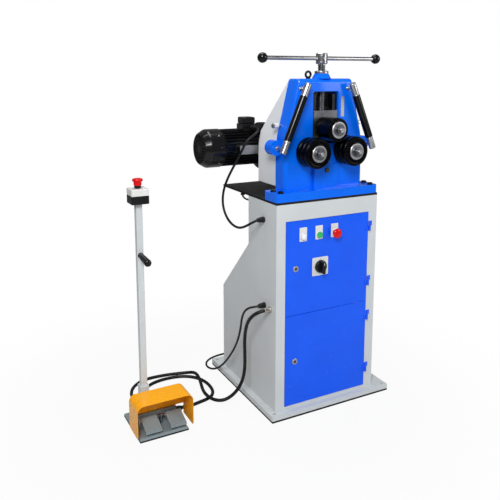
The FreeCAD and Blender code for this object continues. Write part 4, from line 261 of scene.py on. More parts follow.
def across(direction):
    """A direction's unit vector and two unit vectors square to it."""
    along = np.array(direction, float) / np.linalg.norm(direction)
    side = np.cross(Z_AXIS if abs(along[2]) < 0.9 else X_AXIS, along)
    side /= np.linalg.norm(side)
    return along, side, np.cross(along, side)


def grid(points, wrap=True):
    """Quads between neighbouring points of a grid; wrap joins the last column to the first."""
    rows, columns = points.shape[:2]
    row, column = np.meshgrid(np.arange(rows - 1), np.arange(columns if wrap else columns - 1), indexing="ij")
    near = row * columns + column
    far = row * columns + (column + 1) % columns
    quads = np.stack([near, far, far + columns, near + columns], -1).reshape(-1, 4)
    return points.reshape(-1, 3), [quads]


def eased(line, reach, closed=False, steps=4):
    """Each corner of a line turned to a parabola that starts and ends a reach from the corner,
    or 0.45 of the shorter neighbouring run."""
    line = np.array(line, float)
    before = np.roll(line, 1, 0) - line
    after = np.roll(line, -1, 0) - line
    runs = [np.maximum(np.linalg.norm(step, axis=1), 1e-9) for step in (before, after)]
    cut = np.minimum(reach, 0.45 * np.minimum(*runs))
    start = line + before * (cut / runs[0])[:, None]
    end = line + after * (cut / runs[1])[:, None]
    if not closed:
        start[0] = end[0] = line[0]
        start[-1] = end[-1] = line[-1]
    t = np.linspace(0, 1, steps)[None, :, None]
    curve = (1 - t) ** 2 * start[:, None] + 2 * t * (1 - t) * line[:, None] + t ** 2 * end[:, None]
    return curve.reshape(-1, line.shape[1])


def lathe(start, direction, profile, ease=0.5, steps=56):
    """A turned form: for each (distance, radius) of the eased profile, a circle round the direction."""
    profile = eased(profile, ease)
    along, side, up = across(direction)
    turn = np.linspace(0, 2 * np.pi, steps, endpoint=False)
    circle = np.cos(turn)[:, None] * side + np.sin(turn)[:, None] * up
    points = np.array(start, float) + profile[:, :1, None] * along + profile[:, 1:, None] * circle
    return grid(points)


def inset(loop, distance):
    """An anticlockwise outline moved inwards along its corners' mitres."""
    step = np.roll(loop, -1, 0) - loop
    normal = np.column_stack([-step[:, 1], step[:, 0]])
    normal /= np.maximum(np.linalg.norm(step, axis=1), 1e-9)[:, None]
    before = np.roll(normal, 1, 0)
    mitre = (normal + before) / (1 + np.sum(normal * before, axis=1))[:, None]
    return loop + distance * mitre


def slab(outline, axis, low, high, edge=0.6):
    """A plate: the outline carried along an axis from low to high, both rims rounded by quarter circles."""
    loop = np.array(outline, float)
    onward = np.roll(loop, -1, 0)
    if np.sum(loop[:, 0] * onward[:, 1] - onward[:, 0] * loop[:, 1]) < 0:
        loop = loop[::-1]
    bend = np.linspace(0, np.pi / 2, 4)
    rise = edge * (1 - np.cos(bend))
    shrink = edge * (1 - np.sin(bend))
    rings = np.stack([inset(loop, amount) for amount in (*shrink, *shrink[::-1])])
    level = np.concatenate([low + rise, high - rise[::-1]])
    points, faces = grid(np.insert(rings, axis, level[:, None], axis=2))
    count = len(loop)
    ends = np.array([np.arange(count), np.arange(len(points) - count, len(points))])
    return points, faces + [ends]


def rectangle(first, second, corner=1.0):
    """A rectangle's outline, its corners eased."""
    (a, b), (c, d) = first, second
    return eased([(a, c), (b, c), (b, d), (a, d)], corner, closed=True)


def block(x_span, y_span, z_span, axis=2, corner=1.0, edge=0.6):
    """A box with eased corners round one axis and rounded rims."""
    spans = [x_span, y_span, z_span]
    low, high = sorted(spans.pop(axis))
    return slab(rectangle(*spans, corner), axis, low, high, edge)


def hex_head(start, axis, height, flats, turn=0.0):
    """A hexagonal head: six corners round an axis, from its seat to its rounded top."""
    corner = np.arange(6) * np.pi / 3 + turn
    ring = flats / math.sqrt(3) * np.column_stack([np.cos(corner), np.sin(corner)])
    outline = ring + np.delete(np.array(start, float), axis)
    return slab(eased(outline, 0.9, closed=True, steps=3), axis, *sorted((start[axis], start[axis] + height)), 0.9)


def pipe(path, radius, steps=16, closed=False):
    """A round wire: circles of a radius, square to the path at each of its points."""
    path = np.array(path, float)
    if closed:
        path = np.vstack([path, path[:1]])
        ahead = np.gradient(np.vstack([path[-2], path, path[1]]), axis=0)[1:-1]
    else:
        ahead = np.gradient(path, axis=0)
    ahead /= np.linalg.norm(ahead, axis=1)[:, None]
    side = np.cross(ahead, (0.31, 0.17, 0.94))
    side /= np.linalg.norm(side, axis=1)[:, None]
    up = np.cross(ahead, side)
    turn = np.linspace(0, 2 * np.pi, steps, endpoint=False)[None, :, None]
    width = np.full(len(path), float(radius))
    if not closed:
        path = np.vstack([path[:1], path, path[-1:]])
        side, up = (np.vstack([rows[:1], rows, rows[-1:]]) for rows in (side, up))
        width = np.concatenate([[0], width, [0]])
    circle = np.cos(turn) * side[:, None] + np.sin(turn) * up[:, None]
    return grid(path[:, None] + width[:, None, None] * circle)


def spun(shape, centre, direction, count, phase=0.0):
    """Copies of a shape turned round an axis in equal steps."""
    along, side, up = across(direction)
    base = np.array([along, side, up])
    local = (shape[0] - np.array(centre, float)) @ base.T
    copies = []
    for angle in phase + 2 * np.pi * np.arange(count) / count:
        c, s = math.cos(angle), math.sin(angle)
        turned = local @ np.array([[1, 0, 0], [0, c, s], [0, -s, c]])
        copies.append((turned @ base + np.array(centre, float), shape[1]))
    return copies


def even_light(thing, sharp):
    """Shade curved faces smooth and flat faces flat, with hard lines only at sharp edges."""
    thing.data.shade_smooth()
    thing.data.set_sharp_from_angle(angle=math.radians(sharp))
    light = thing.modifiers.new("even_light", "WEIGHTED_NORMAL")
    light.keep_sharp = True


def piece(name, shapes, finish, node, replaces=True):
    """One object of several shapes, turned to metres, which rides with a node's body and, where it replaces the node,
    hides it.
    """
    counts = np.cumsum([0] + [len(points) for points, _ in shapes])
    faces = [face for start, (_, groups) in zip(counts, shapes) for group in groups
             for face in (group + start).tolist()]
    mesh = bpy.data.meshes.new(name)
    mesh.from_pydata(np.concatenate([points for points, _ in shapes]) * MM, [], faces)
    work = bmesh.new()
    work.from_mesh(mesh)
    bmesh.ops.remove_doubles(work, verts=work.verts, dist=1e-6)
    bmesh.ops.recalc_face_normals(work, faces=work.faces)
    work.to_mesh(mesh)
    work.free()
    mesh.materials.append(FINISHES[finish])
    thing = bpy.data.objects.new(name, mesh)
    bpy.context.scene.collection.objects.link(thing)
    even_light(thing, NEW_EDGE)
    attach(thing, BODY_OF[node])
    if replaces:
        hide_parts(node)
    return thing


def soften(node, finish, width):
    """A node's own surface with its loose triangles joined, its flat faces made whole and its edges rounded
    by a bevel of a width."""
    mesh = NODES[node].data.copy()
    work = bmesh.new()
    work.from_mesh(mesh)
    bmesh.ops.remove_doubles(work, verts=work.verts, dist=2e-6)
    bmesh.ops.dissolve_limit(work, angle_limit=math.radians(0.4), use_dissolve_boundaries=False,
                             verts=work.verts, edges=work.edges)
    work.to_mesh(mesh)
    work.free()
    mesh.materials.clear()
    mesh.materials.append(FINISHES[finish])
    thing = bpy.data.objects.new(node + "_finished", mesh)
    bpy.context.scene.collection.objects.link(thing)
    bevel = thing.modifiers.new("rounded_edges", "BEVEL")
    bevel.width = width * MM
    bevel.segments = 2
    bevel.limit_method = "ANGLE"
    bevel.angle_limit = math.radians(CAD_EDGE)
    even_light(thing, CAD_EDGE)
    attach(thing, BODY_OF[node])
    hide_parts(node)
    return thing


# ---------------------------------------------------------------- rolls, screw and handles


def build_rolls():
    """Blackened rolls with three rims, their stepped end washers with bolts, and the shafts behind them."""
    washer = [(-52, 0), (-52, 32), (-56.4, 32), (-57.8, 30.4), (-57.8, 24.6), (-55.6, 24), (-55.6, 0)]
    step = [(-55, 0), (-55, 22.6), (-59, 22.6), (-60, 21.6), (-60, 16.2), (-58.6, 15.4), (-58.6, 14.2),
            (-66.4, 14.2), (-67, 13.4), (-67, 0)]
    stud = [(-66, 0), (-66, 9), (-79, 9), (-80, 8), (-80, 3.2), (-78.4, 0)]
    bore = [(ROLL_BACK, 15.2), (ROLL_FRONT, 15.2)]
    ring_width = (ROLL_BACK - ROLL_FRONT) / 3
    rims = []
    for front in (ROLL_FRONT, ROLL_FRONT + ring_width, ROLL_FRONT + 2 * ring_width):
        rims += [(front, 52.6), (front + 1, 54.4), (front + 3, 57.2), (front + 4, 58), (front + 16.6, 58),
                 (front + 18, 56.8), (front + 18, 47), (front + ring_width, 47)]
    lower = [bore[1], (ROLL_FRONT, 34), (-51.2, 36), (-51.2, 46), (ROLL_FRONT, 48), *rims, *bore]
    upper = [bore[1], (ROLL_FRONT, 42), (-51, 44.6), (-49, 46), (-33, 46), (-32, 45), (-31, 46), (29, 46),
             (ROLL_BACK, 45), *bore]
    for side, x, level, profile, end, collar_end in (("left", -LOWER_X, LOWER_LEVEL, lower, 150, 38.7),
                                                     ("right", LOWER_X, LOWER_LEVEL, lower, 150, 38.7),
                                                     ("upper", 0, UPPER_LEVEL, upper, 100, 35.1)):
        start = (x, 0, level)
        piece(side + "_roll_rings", [lathe(start, Y_AXIS, profile, 0.7, 96)], "black_oxide", side + "_roll")
        shaft = [(-51.5, 0), (-51.5, 15), (ROLL_BACK, 15), (ROLL_BACK, 22), (collar_end, 22), (collar_end, 15),
                 (end - 1, 15), (end, 14), (end, 0)]
        ends = [lathe(start, Y_AXIS, form, 0.5, 80) for form in (washer, stud, shaft)]
        piece(side + "_shaft_and_washer", ends, "turned_" + side, side + "_shaft")
        piece(side + "_clamp_disc", [lathe(start, Y_AXIS, step, 0.5, 80)], "machined", side + "_shaft", replaces=False)


def thread(centre, low, high, radius, depth, pitch):
    """A trapezoidal screw thread: the radius falls to its root where height over pitch, less the turn's
    fraction, is past its crest."""
    turn = np.linspace(0, 2 * np.pi, 40, endpoint=False)
    height = np.arange(low, high + 0.01, pitch / 10)
    phase = (height[:, None] / pitch - turn / (2 * np.pi)) % 1
    drop = np.clip((np.abs(phase - 0.5) - 0.16) / 0.14, 0, 1)
    away = radius - depth * (1 - drop)
    away[0] = away[-1] = radius - depth
    points = np.stack([away * np.cos(turn), away * np.sin(turn), np.broadcast_to(height[:, None], away.shape)], -1)
    rows = np.concatenate([points[:1] * (0, 0, 1), points, points[-1:] * (0, 0, 1)])
    return grid(rows + np.array(centre, float))


def build_screw():
    """Pressing screw with its thread, hub and T-bar with ball knobs, and the flanged nut on the boss."""
    base = (0, SCREW_Y, 0)
    piece("screw_thread", [thread(base, 1214, 1398, 15, 2.6, 6),
                           lathe(base, Z_AXIS, [(1205.5, 0), (1205.5, 19), (1213.3, 19), (1213.3, 12), (1215, 0)])],
          "machined", "spindle")
    hub = [(1396, 0), (1396, 14.4), (1401, 14.4), (1401, 20), (1403, 22.4), (1404, 23), (1409, 23), (1409.6, 22.2),
           (1410.4, 22.2), (1411, 23), (1434, 23), (1434.6, 22.2), (1435.4, 22.2), (1436, 23), (1440, 23),
           (1443, 20), (1443, 6), (1441.6, 4), (1441.6, 0)]
    set_screw = lathe((0, SCREW_Y - 22.4, BAR_LEVEL), -Y_AXIS, [(0, 0), (0, 5), (0.6, 5), (0.6, 2.6), (-1, 0)])
    piece("screw_hub", [lathe(base, Z_AXIS, hub, 0.5, 80), set_screw], "turned_screw", "spindle")
    bar = [(-BAR_HALF + 4, 0), (-BAR_HALF + 4, 8), (-BAR_HALF + 19, 8), (BAR_HALF - 19, 8), (BAR_HALF - 4, 8),
           (BAR_HALF - 4, 0)]
    piece("tee_bar", [lathe((0, SCREW_Y, BAR_LEVEL), X_AXIS, bar, 0.5, 40)], "turned_bar", "spindle")
    balls = []
    for sign in (-1, 1):
        polar = np.linspace(0, np.pi, 25)
        ball = np.column_stack([-19.5 * np.cos(polar), 19.5 * np.sin(polar)])
        ball = [(-17.6, 0), (-17.6, 8.4), *ball[4:-1].tolist(), (19.5, 0)]
        balls.append(lathe((sign * BAR_HALF, SCREW_Y, BAR_LEVEL), sign * X_AXIS, ball, 0.4, 64))
    piece("ball_knob_pair", balls, "gloss_black", "ball_knobs")
    nut = [(1364, 24), (1364, 26), (1365.9, 26), (1365.9, 27.5), (1372.4, 27.5), (1374.4, 25.4), (1374.4, 21),
           (1375.9, 20.4), (1375.9, 15.05), (1366, 15.05), (1366, 24), (1364, 24)]
    piece("screw_nut_flanged", [lathe(base, Z_AXIS, nut, 0.4, 80)], "turned_screw", "screw_nut")


def stud(start, length):
    """A handle's stud from the fitting's axis to the casting, where it has a collar 5 mm long."""
    return lathe(start, Y_AXIS, [(0, 0), (0, 6), (1, 6), (length, 6), (length, 9.5), (length + 5, 9.5),
                                 (length + 5, 0)])


def build_handles():
    """Grab handles: polished grip tubes between turned end fittings, studs into the casting, and the post's peg."""
    handle_y, low_stud, high_stud = 5, 1082, 1308
    joint = 51
    end = [(0, 0), (0, 11.6), (2, 13.5), (46, 13.5), (47, 12.6), (48, 13.5), (joint, 13.5), (joint, 0)]
    dome = [(0, 0), (0.4, 2.6), (2.2, 4.6), (5, 6), (8, 6), (8, 0)]
    grips, fittings = [], []
    for sign in (-1, 1):
        foot = np.array((sign * 212, handle_y, 1066.0))
        line = np.array((sign * 101.5, handle_y, 1327.0)) - foot
        whole = np.linalg.norm(line)
        grips.append(lathe(foot, line, [(joint, 0), (joint, 13.4), (joint + 2, 15), (whole - joint - 2, 15),
                                        (whole - joint, 13.4), (whole - joint, 0)], 0.8, 64))
        fittings += [lathe(foot, line, end, 0.5, 56), lathe(foot + line, -line, end, 0.5, 56)]
        high_x = sign * 109.5
        fittings += [stud((sign * 205.2, handle_y, low_stud), 50), stud((high_x, handle_y, high_stud), 25),
                     lathe((high_x - 12.15, 27, high_stud), Y_AXIS, dome, 0.6, 40)]
    droop, peg_length, peg_level = math.radians(4.8), 95, 682
    tip = (POST_X, POST_Y - 11.5 - peg_length * math.cos(droop), peg_level - peg_length * math.sin(droop))
    peg = [(0, 0), (0.8, 8), (4, 12.6), (9, 14), (60, 12.2), (88, 10.4), (90, 11.6), (94, 11.6), (peg_length, 0)]
    grips.append(lathe(tip, (0, math.cos(droop), math.sin(droop)), peg, 1.6, 56))
    piece("grip_tubes_and_peg", grips, "gloss_black", "handle_grips")
    piece("handle_ends_and_studs", fittings, "zinc", "handle_fittings")


# ---------------------------------------------------------------- casting trim


def build_trim():
    """Bolts, lifting eye, hook, oil plug, hinges of the frame, and the scale beside the slot."""
    foot_bolts = []
    for sign in (-1, 1):
        for x, y, turn in ((219, 64, 0.2), (213, 16, 0.7)):
            spot = (sign * x, y, FLANGE_TOP)
            foot_bolts += [lathe(spot, Z_AXIS, [(0, 0), (0, 13), (1.6, 13), (1.6, 0)], 0.4),
                           hex_head((sign * x, y, FLANGE_TOP + 1.6), 2, 6.4, 19, turn),
                           lathe((sign * x, y, 840), Z_AXIS, [(0, 0), (0, 6), (74, 6), (74, 0)]),
                           hex_head((sign * x, y, 861), 2, 8, 19, turn)]
    piece("foot_bolts", foot_bolts, "dark_machined", "frame_hardware")
    side_bolts, spacers = [], []
    bolt_y, bolt_level = 92, 1165
    for sign in (-1, 1):
        axis = sign * X_AXIS
        side_bolts += [hex_head((sign * 200, bolt_y, bolt_level), 0, sign * 8, 17, 0.3),
                       lathe((sign * 150, bolt_y, bolt_level), axis, [(0, 0), (0, 6), (50, 6), (50, 0)])]
        spacers.append(lathe((sign * 183, bolt_y, bolt_level), axis, [(0, 0), (0, 10.2), (17, 10.2), (17, 0)], 0.8))
    piece("side_bolts", side_bolts, "zinc", "frame_hardware")
    piece("side_bolt_spacers", spacers, "white_abs", "frame_hardware")
    eye_x, eye_y, eye_radius = -49, 90.0, 11.5
    ring = np.linspace(0, 2 * np.pi, 49)[:-1]
    eye = np.column_stack([eye_x + eye_radius * np.cos(ring), np.full(48, eye_y), 1360.75 + eye_radius * np.sin(ring)])
    collar = lathe((eye_x, eye_y, CASTING_TOP), Z_AXIS, [(0, 0), (0, 9), (2, 9), (4, 6.4), (4, 0)], 0.5)
    piece("lifting_eye", [pipe(eye, 4.5, 24, closed=True), collar], "dark_machined", "frame_hardware")
    hook = eased([(-237, 287, 871), (-237, 287, 857), (-237, 263, 851), (-237, 234, 852)], 9, steps=8)
    piece("tool_hook", [pipe(hook, 3.6, 16), hex_head((-237, 287, 871), 2, -8, 17)], "plate_coat", "frame_hardware")
    flange = [(0, 0), (0, 12.5), (-5, 12.5), (-6, 11.6), (-6, 0)]
    oil = [lathe((0, 27.5, 988), Y_AXIS, flange, 0.5), hex_head((0, 21.6, 988), 1, -6.4, 17, 0.3)]
    piece("oil_plug", oil, "dull_brass", "frame_hardware")
    knuckles = []
    for level in (*UPPER_HINGES, *LOWER_HINGES):
        knuckles += hinge_half(level + 0.3, level + 20, HINGE_X, HINGE_X + 14, (-2, 0))
    piece("frame_hinge_knuckles", knuckles, "door_enamel", "frame_hardware")
    strip = [block((72, 87), (34.2, 35.2), (1196, 1275), 1, 1.2, 0.25)]
    piece("scale_strip", strip, "alloy_plate", "frame_casting", replaces=False)
    level = np.arange(17) * 4.4 + 1200
    marks = [block((74, 74 + (9 if index % 5 == 0 else 5)), (33.9, 34.3), (height - 0.45, height + 0.45), 1, 0.1, 0.1)
             for index, height in enumerate(level)]
    piece("scale_marks", marks, "ink", "frame_casting", replaces=False)


def hinge_half(low, high, leaf_from, leaf_to, leaf_y):
    """A rolled hinge knuckle with rounded rims, and the leaf welded to it."""
    barrel = lathe((HINGE_X, HINGE_Y, 0), Z_AXIS, [(low, 0), (low, 4.2), (low + 0.8, 5), (high - 0.8, 5), (high, 4.2),
                                          (high, 0)], 0.4, 32)
    leaf = block((leaf_from, leaf_to), leaf_y, (low, high), 1, 1.5, 0.4)
    return [barrel, leaf]


# ---------------------------------------------------------------- doors and their controls


def build_door_fittings():
    """Hinge knuckles, and lock rims with their nuts, keyed cores and cams."""
    for door, levels, lock_level in (("upper", UPPER_HINGES, UPPER_LOCK_LEVEL),
                                     ("lower", LOWER_HINGES, LOWER_LOCK_LEVEL)):
        shapes = []
        for level in levels:
            shapes += hinge_half(level - 20, level, HINGE_X - 16.5, HINGE_X - 2.5, (-4, -2))
        piece(door + "_door_knuckles", shapes, "door_enamel", door + "_door_fittings")
        spot = (LOCK_X, 0, lock_level)
        rim = [(-5, 6.1), (-5, 11.4), (-4.2, 12.5), (-2, 12.5), (-2, 9), (8, 9), (8, 6.1), (-5, 6.1)]
        nut = hex_head((LOCK_X, 0.2, lock_level), 1, 4.5, 22)
        piece(door + "_lock_rim", [lathe(spot, Y_AXIS, rim, 0.4, 48)], "zinc", door + "_door_fittings")
        piece(door + "_lock_nut", [nut], "zinc", door + "_door_fittings")
        core = [(12, 0), (12, 5.9), (-4.8, 5.9), (-4.8, 4.4), (0.4, 4.2), (0.4, 1.7), (-3.6, 1.6), (-3.8, 0)]
        cam = block((LOCK_X - 7, LOCK_X + 7), (9, 12), (lock_level - 60, lock_level + 7), 1, 3, 0.4)
        piece(door + "_lock_core", [lathe(spot, Y_AXIS, core, 0.3, 40), cam], "machined", door + "_lock")


def build_controls():
    """Legend plates, lamp, start and stop, and the rotary switch."""
    legends, rings, blocks = [], [], []
    for x in (LAMP_X, START_X, STOP_X):
        legends.append(block((x - 17, x + 17), (-4, -2), (718, 774), 1, 3, 0.5))
        legends.append(block((x - 13.5, x + 13.5), (-4.5, -3.8), (755, 770), 1, 1.2, 0.2))
        ring = [(-4, 12.7), (-7.4, 12.7), (-8, 13), (-7.4, 13.8), (-4, 14.4), (-4, 12.7)]
        nut = [(0.4, 10), (0.4, 13.5), (6, 13.5), (6, 10), (0.4, 10)]
        rings.append(lathe((x, 0, CONTROL_LEVEL), Y_AXIS, ring, 0.3, 48))
        blocks += [block((x - 15, x + 15), (6, 45), (722, 752), 1, 2, 0.8),
                   lathe((x, 0, CONTROL_LEVEL), Y_AXIS, nut, 0.3, 40)]
    piece("legend_plates", legends, "white_abs", "door_controls")
    piece("control_rings", rings, "lamp_white", "door_controls")
    piece("contact_blocks", blocks, "grey_nylon", "door_controls")
    dome = [(4, 0), (4, 9.5), (-8.2, 9.5), (-8.2, 12.4), (-11, 12), (-13, 9.4), (-14, 4), (-14, 0)]
    piece("lamp_lens", [lathe((LAMP_X, 0, CONTROL_LEVEL), Y_AXIS, dome, 0.8, 48)], "lamp_white", "door_controls")
    cap = [(-0.3, 0), (-0.3, 9.5), (-8.6, 9.5), (-8.6, 12.4), (-13, 12.2), (-14, 11), (-14, 9.4), (-13.4, 8.6),
           (-13.2, 0)]
    piece("start_cap", [lathe((START_X, 0, CONTROL_LEVEL), Y_AXIS, cap, 0.5, 48)], "green_abs", "start_button")
    stop = [(-0.3, 0), (-0.3, 9.5), (-17, 9.5), (-18, 11), (-20, 17), (-21.6, 19.6), (-24, 20), (-27, 19),
            (-30, 15.6), (-31.4, 10), (-32, 0)]
    piece("stop_mushroom", [lathe((STOP_X, 0, CONTROL_LEVEL), Y_AXIS, stop, 1.4, 64)], "red_abs", "stop_button")

    plate = [block((SWITCH_X - 37.5, SWITCH_X + 37.5), (-5, -2), (569, 644), 1, 5, 0.8)]
    rivet = [(0, 0), (0, 2.6), (0.5, 2.2), (0.5, 0)]
    plate += [lathe((SWITCH_X + x, -4.9, SWITCH_LEVEL + z), -Y_AXIS, rivet, 0.2, 20) for x in (-31, 31)
              for z in (-31, 31)]
    piece("switch_plate", plate, "white_abs", "door_controls")
    body = [block((SWITCH_X - 26, SWITCH_X + 26), (0.4, 45), (580.5, 632.5), 1, 3, 0.8)]
    piece("switch_block", body, "grey_nylon", "door_controls")
    tick = block((SWITCH_X - 0.6, SWITCH_X + 0.6), (-5.2, -4.9), (SWITCH_LEVEL + 28.5, SWITCH_LEVEL + 33), 1, 0.1, 0.1)
    piece("switch_ticks", spun(tick, (SWITCH_X, 0, SWITCH_LEVEL), Y_AXIS, 4), "ink", "door_controls")
    disc = [(-5.3, 0), (-5.3, 26), (-12, 26), (-15, 25), (-17, 22.6), (-17, 0)]
    grip = block((SWITCH_X - 6.5, SWITCH_X + 6.5), (-35, -16.6), (SWITCH_LEVEL - 25, SWITCH_LEVEL + 25), 1, 4, 1.6)
    stem = lathe((SWITCH_X, 0, SWITCH_LEVEL), Y_AXIS, [(-6, 0), (-6, 5), (12, 5), (12, 0)])
    piece("switch_handle", [lathe((SWITCH_X, 0, SWITCH_LEVEL), Y_AXIS, disc, 0.8, 64), grip, stem], "satin_black",
          "switch_knob")
    pointer = block((SWITCH_X - 1, SWITCH_X + 1), (-35.2, -34.7), (SWITCH_LEVEL + 10, SWITCH_LEVEL + 21), 1, 0.4, 0.1)
    piece("switch_pointer", [pointer], "white_abs", "switch_knob")


# ---------------------------------------------------------------- motor and glands


def build_motor():
    """Finned motor body with its flange and bolts, fan cover with its grille, blank plate and terminal box."""
    centre = (0, MOTOR_Y, MOTOR_LEVEL)
    # the radius goes from the root to the crest and back by a smooth step of the angle, once for each fin
    fins, root, crest = 32, 66.5, 77.6
    turn = np.linspace(0, 2 * np.pi, fins * 14, endpoint=False)
    wave = np.abs((turn * fins / (2 * np.pi)) % 1 - 0.5)
    fin = np.clip((0.2 - wave) / 0.1, 0, 1)
    fin = fin * fin * (3 - 2 * fin)
    place = np.array((-321.5, -319, -315, -145, -141, -138.0))
    reach = np.array((0.0, 0.7, 1, 1, 0.7, 0))[:, None]
    away = root + (crest - root) * fin * reach
    flat = np.broadcast_to(place[:, None], away.shape)
    rows = np.stack([flat, MOTOR_Y + away * np.cos(turn), MOTOR_LEVEL + away * np.sin(turn)], -1)
    ends = [np.stack([flat[row], np.full_like(turn, MOTOR_Y), np.full_like(turn, MOTOR_LEVEL)], -1) for row in (0, -1)]
    body = grid(np.concatenate([ends[0][None], rows, ends[1][None]]))
    flange = [(-138, 0), (-138, 71), (-127, 71), (-126, 74), (-126, 98.6), (-124.6, 100), (-114, 100), (-114, 0)]
    shield = [(-324, 0), (-324, 70), (-320, 74), (-312, 74), (-312, 0)]
    bolt = hex_head((-126, MOTOR_Y + 85, MOTOR_LEVEL), 0, -7, 13)
    washer = lathe((-126, MOTOR_Y + 85, MOTOR_LEVEL), -X_AXIS, [(0, 0), (0, 9), (1.6, 9), (1.6, 0)])
    piece("motor_body", [body, lathe(centre, X_AXIS, flange, 0.6, 72), lathe(centre, X_AXIS, shield, 0.6, 72)],
          "motor_enamel", "motor_housing")
    bolts = spun(bolt, centre, X_AXIS, 4, math.pi / 4) + spun(washer, centre, X_AXIS, 4, math.pi / 4)
    piece("motor_flange_bolts", bolts, "zinc", "motor_housing")

    face, inside = -405, -403
    shell = [(-321.5, 80), (-376, 80), (-382, 78), (-402, 66), (face, 62), (face, 58), (inside, 58), (inside, 61.4),
             (-381, 76), (-321.5, 78), (-321.5, 80)]
    hub = [(face, 0), (face, 16), (inside, 16), (inside, 0)]
    bar = block((face, inside), (MOTOR_Y + 14, MOTOR_Y + 62), (MOTOR_LEVEL - 1.5, MOTOR_LEVEL + 1.5), 0, 0.3, 0.4)
    hoops = [lathe(centre, X_AXIS, [(-404.6, r - 1), (-404.6, r + 1), (-402.8, r + 1), (-402.8, r - 1),
                                    (-404.6, r - 1)], 0.3, 72) for r in (31, 46)]
    screw = lathe((-340, MOTOR_Y - 80, MOTOR_LEVEL), -Y_AXIS, [(-2, 0), (-2, 4), (0, 4), (0, 0)], 0.6, 24)
    piece("fan_cover", [lathe(centre, X_AXIS, shell, 0.5, 96), lathe(centre, X_AXIS, hub, 0.3, 48), *hoops,
                        *spun(bar, centre, X_AXIS, 24)], "motor_enamel", "motor_fan_cover")
    piece("fan_cover_screws", spun(screw, centre, X_AXIS, 4, math.pi / 4), "zinc", "motor_fan_cover")

    bend = np.radians(np.linspace(-18, 9, 20))
    bend = np.concatenate([bend, bend[::-1]])
    away = np.repeat((78.0, 79.2), 20)
    outline = np.column_stack([MOTOR_Y - away * np.cos(bend), MOTOR_LEVEL + away * np.sin(bend)])
    piece("blank_plate", [slab(outline, 0, -255, -172, 0.3)], "alloy_plate", "motor_housing", replaces=False)

    base = block((-217.5, -155.5), (319, 385), (1118, 1154.4), 2, 6, 1)
    seal = block((-216, -157), (320.5, 383.5), (1154, 1156), 2, 5, 0.3)
    lid = block((-214.5, -158.5), (322, 382), (1155.6, 1184), 2, 8, 6)
    screws = [lathe((x, y, 1184), Z_AXIS, [(-3, 0), (-3, 3.2), (-0.2, 3.2), (0, 2.6), (0, 0)], 0.3, 24)
              for x in (-206, -167) for y in (331, 373)]
    piece("terminal_box_shell", [base, lid], "motor_enamel", "terminal_box")
    piece("terminal_box_seal", [seal], "rubber", "terminal_box")
    piece("terminal_box_screws", screws, "zinc", "terminal_box")


def gland(start, direction):
    """A cable gland: a hexagon against the wall, and a dome nut that narrows to the cable's mouth."""
    axis = int(np.argmax(np.abs(direction)))
    dome = [(7.5, 0), (7.5, 9.2), (9, 11), (17, 11), (19, 10.4), (25, 9.4), (29, 8.4), (30, 7.6), (30, 0)]
    return [hex_head(start, axis, direction[axis] * 8, 22), lathe(start, direction, dome, 0.8, 40)]


def build_glands():
    """Black glands of the terminal box, the cabinet, the pedal housing and the post, and one plated gland."""
    black = (gland((-176, 319, 1141), -Y_AXIS) + gland((CABINET_SIDE, 98, 798), -X_AXIS)
             + gland((CABINET_SIDE, 88, 448), -X_AXIS) + gland((-592, 199, 34), X_AXIS)
             + gland((POST_X, 258, 45), Y_AXIS) + gland((-666.2, 222, 34), Y_AXIS))
    piece("nylon_glands", black, "satin_black", "cable_glands")
    piece("plated_gland", gland((CABINET_SIDE, 40, 447), -X_AXIS), "nickel", "cable_glands")


# ---------------------------------------------------------------- pedal and stop stand


def build_stand():
    """Post with its socket, stop box and mushroom."""
    post = [block((POST_X - 12.5, POST_X + 12.5), (227.5, 252.5), (14, 883), 2, 3.2, 0.3),
            block((POST_X - 18, POST_X + 18), (222, 258), (14, 150), 2, 2.5, 0.8)]
    piece("post_tube", post, "cabinet_coat", "post")
    base = [block((POST_X - 34, POST_X + 34), (206, 274), (883, 913.4), 2, 5, 1.6)]
    lid = block((POST_X - 34, POST_X + 34), (206, 274), (914, STOP_BOX_TOP), 2, 5, 2.4)
    lip = block((POST_X - 32.6, POST_X + 32.6), (207.4, 272.6), (912.6, 915), 2, 4, 0.2)
    collar = [(STOP_BOX_TOP, 9.4), (STOP_BOX_TOP, 12.9), (950, 12.6), (951, 12), (951, 9.4), (STOP_BOX_TOP, 9.4)]
    spot = (POST_X, POST_Y, 0)
    piece("stop_box_base", base + [lip, lathe(spot, Z_AXIS, collar, 0.5, 48)], "satin_black", "stop_box")
    piece("stop_box_lid", [lid], "white_abs", "stop_box")
    corners = [(POST_X + x, POST_Y + y, STOP_BOX_TOP) for x in (-26, 26) for y in (-26, 26)]
    piece("stop_box_screws", [lathe(corner, Z_AXIS, [(-2, 0), (-2, 3.4), (0, 3.4), (0, 1), (-1, 0)], 0.3, 24)
                              for corner in corners], "zinc", "stop_box")
    # a hollow skirt goes down over the collar when the head is pressed
    head = [(923, 0), (923, 9), (958, 9), (958, 13.4), (951.5, 13.4), (951.5, 14.6), (966, 15), (967, 19.4),
            (968.4, 20), (973, 20), (976, 18), (977.6, 13), (978, 0)]
    piece("post_mushroom", [lathe(spot, Z_AXIS, head, 0.9, 64)], "red_abs", "post_stop_button")


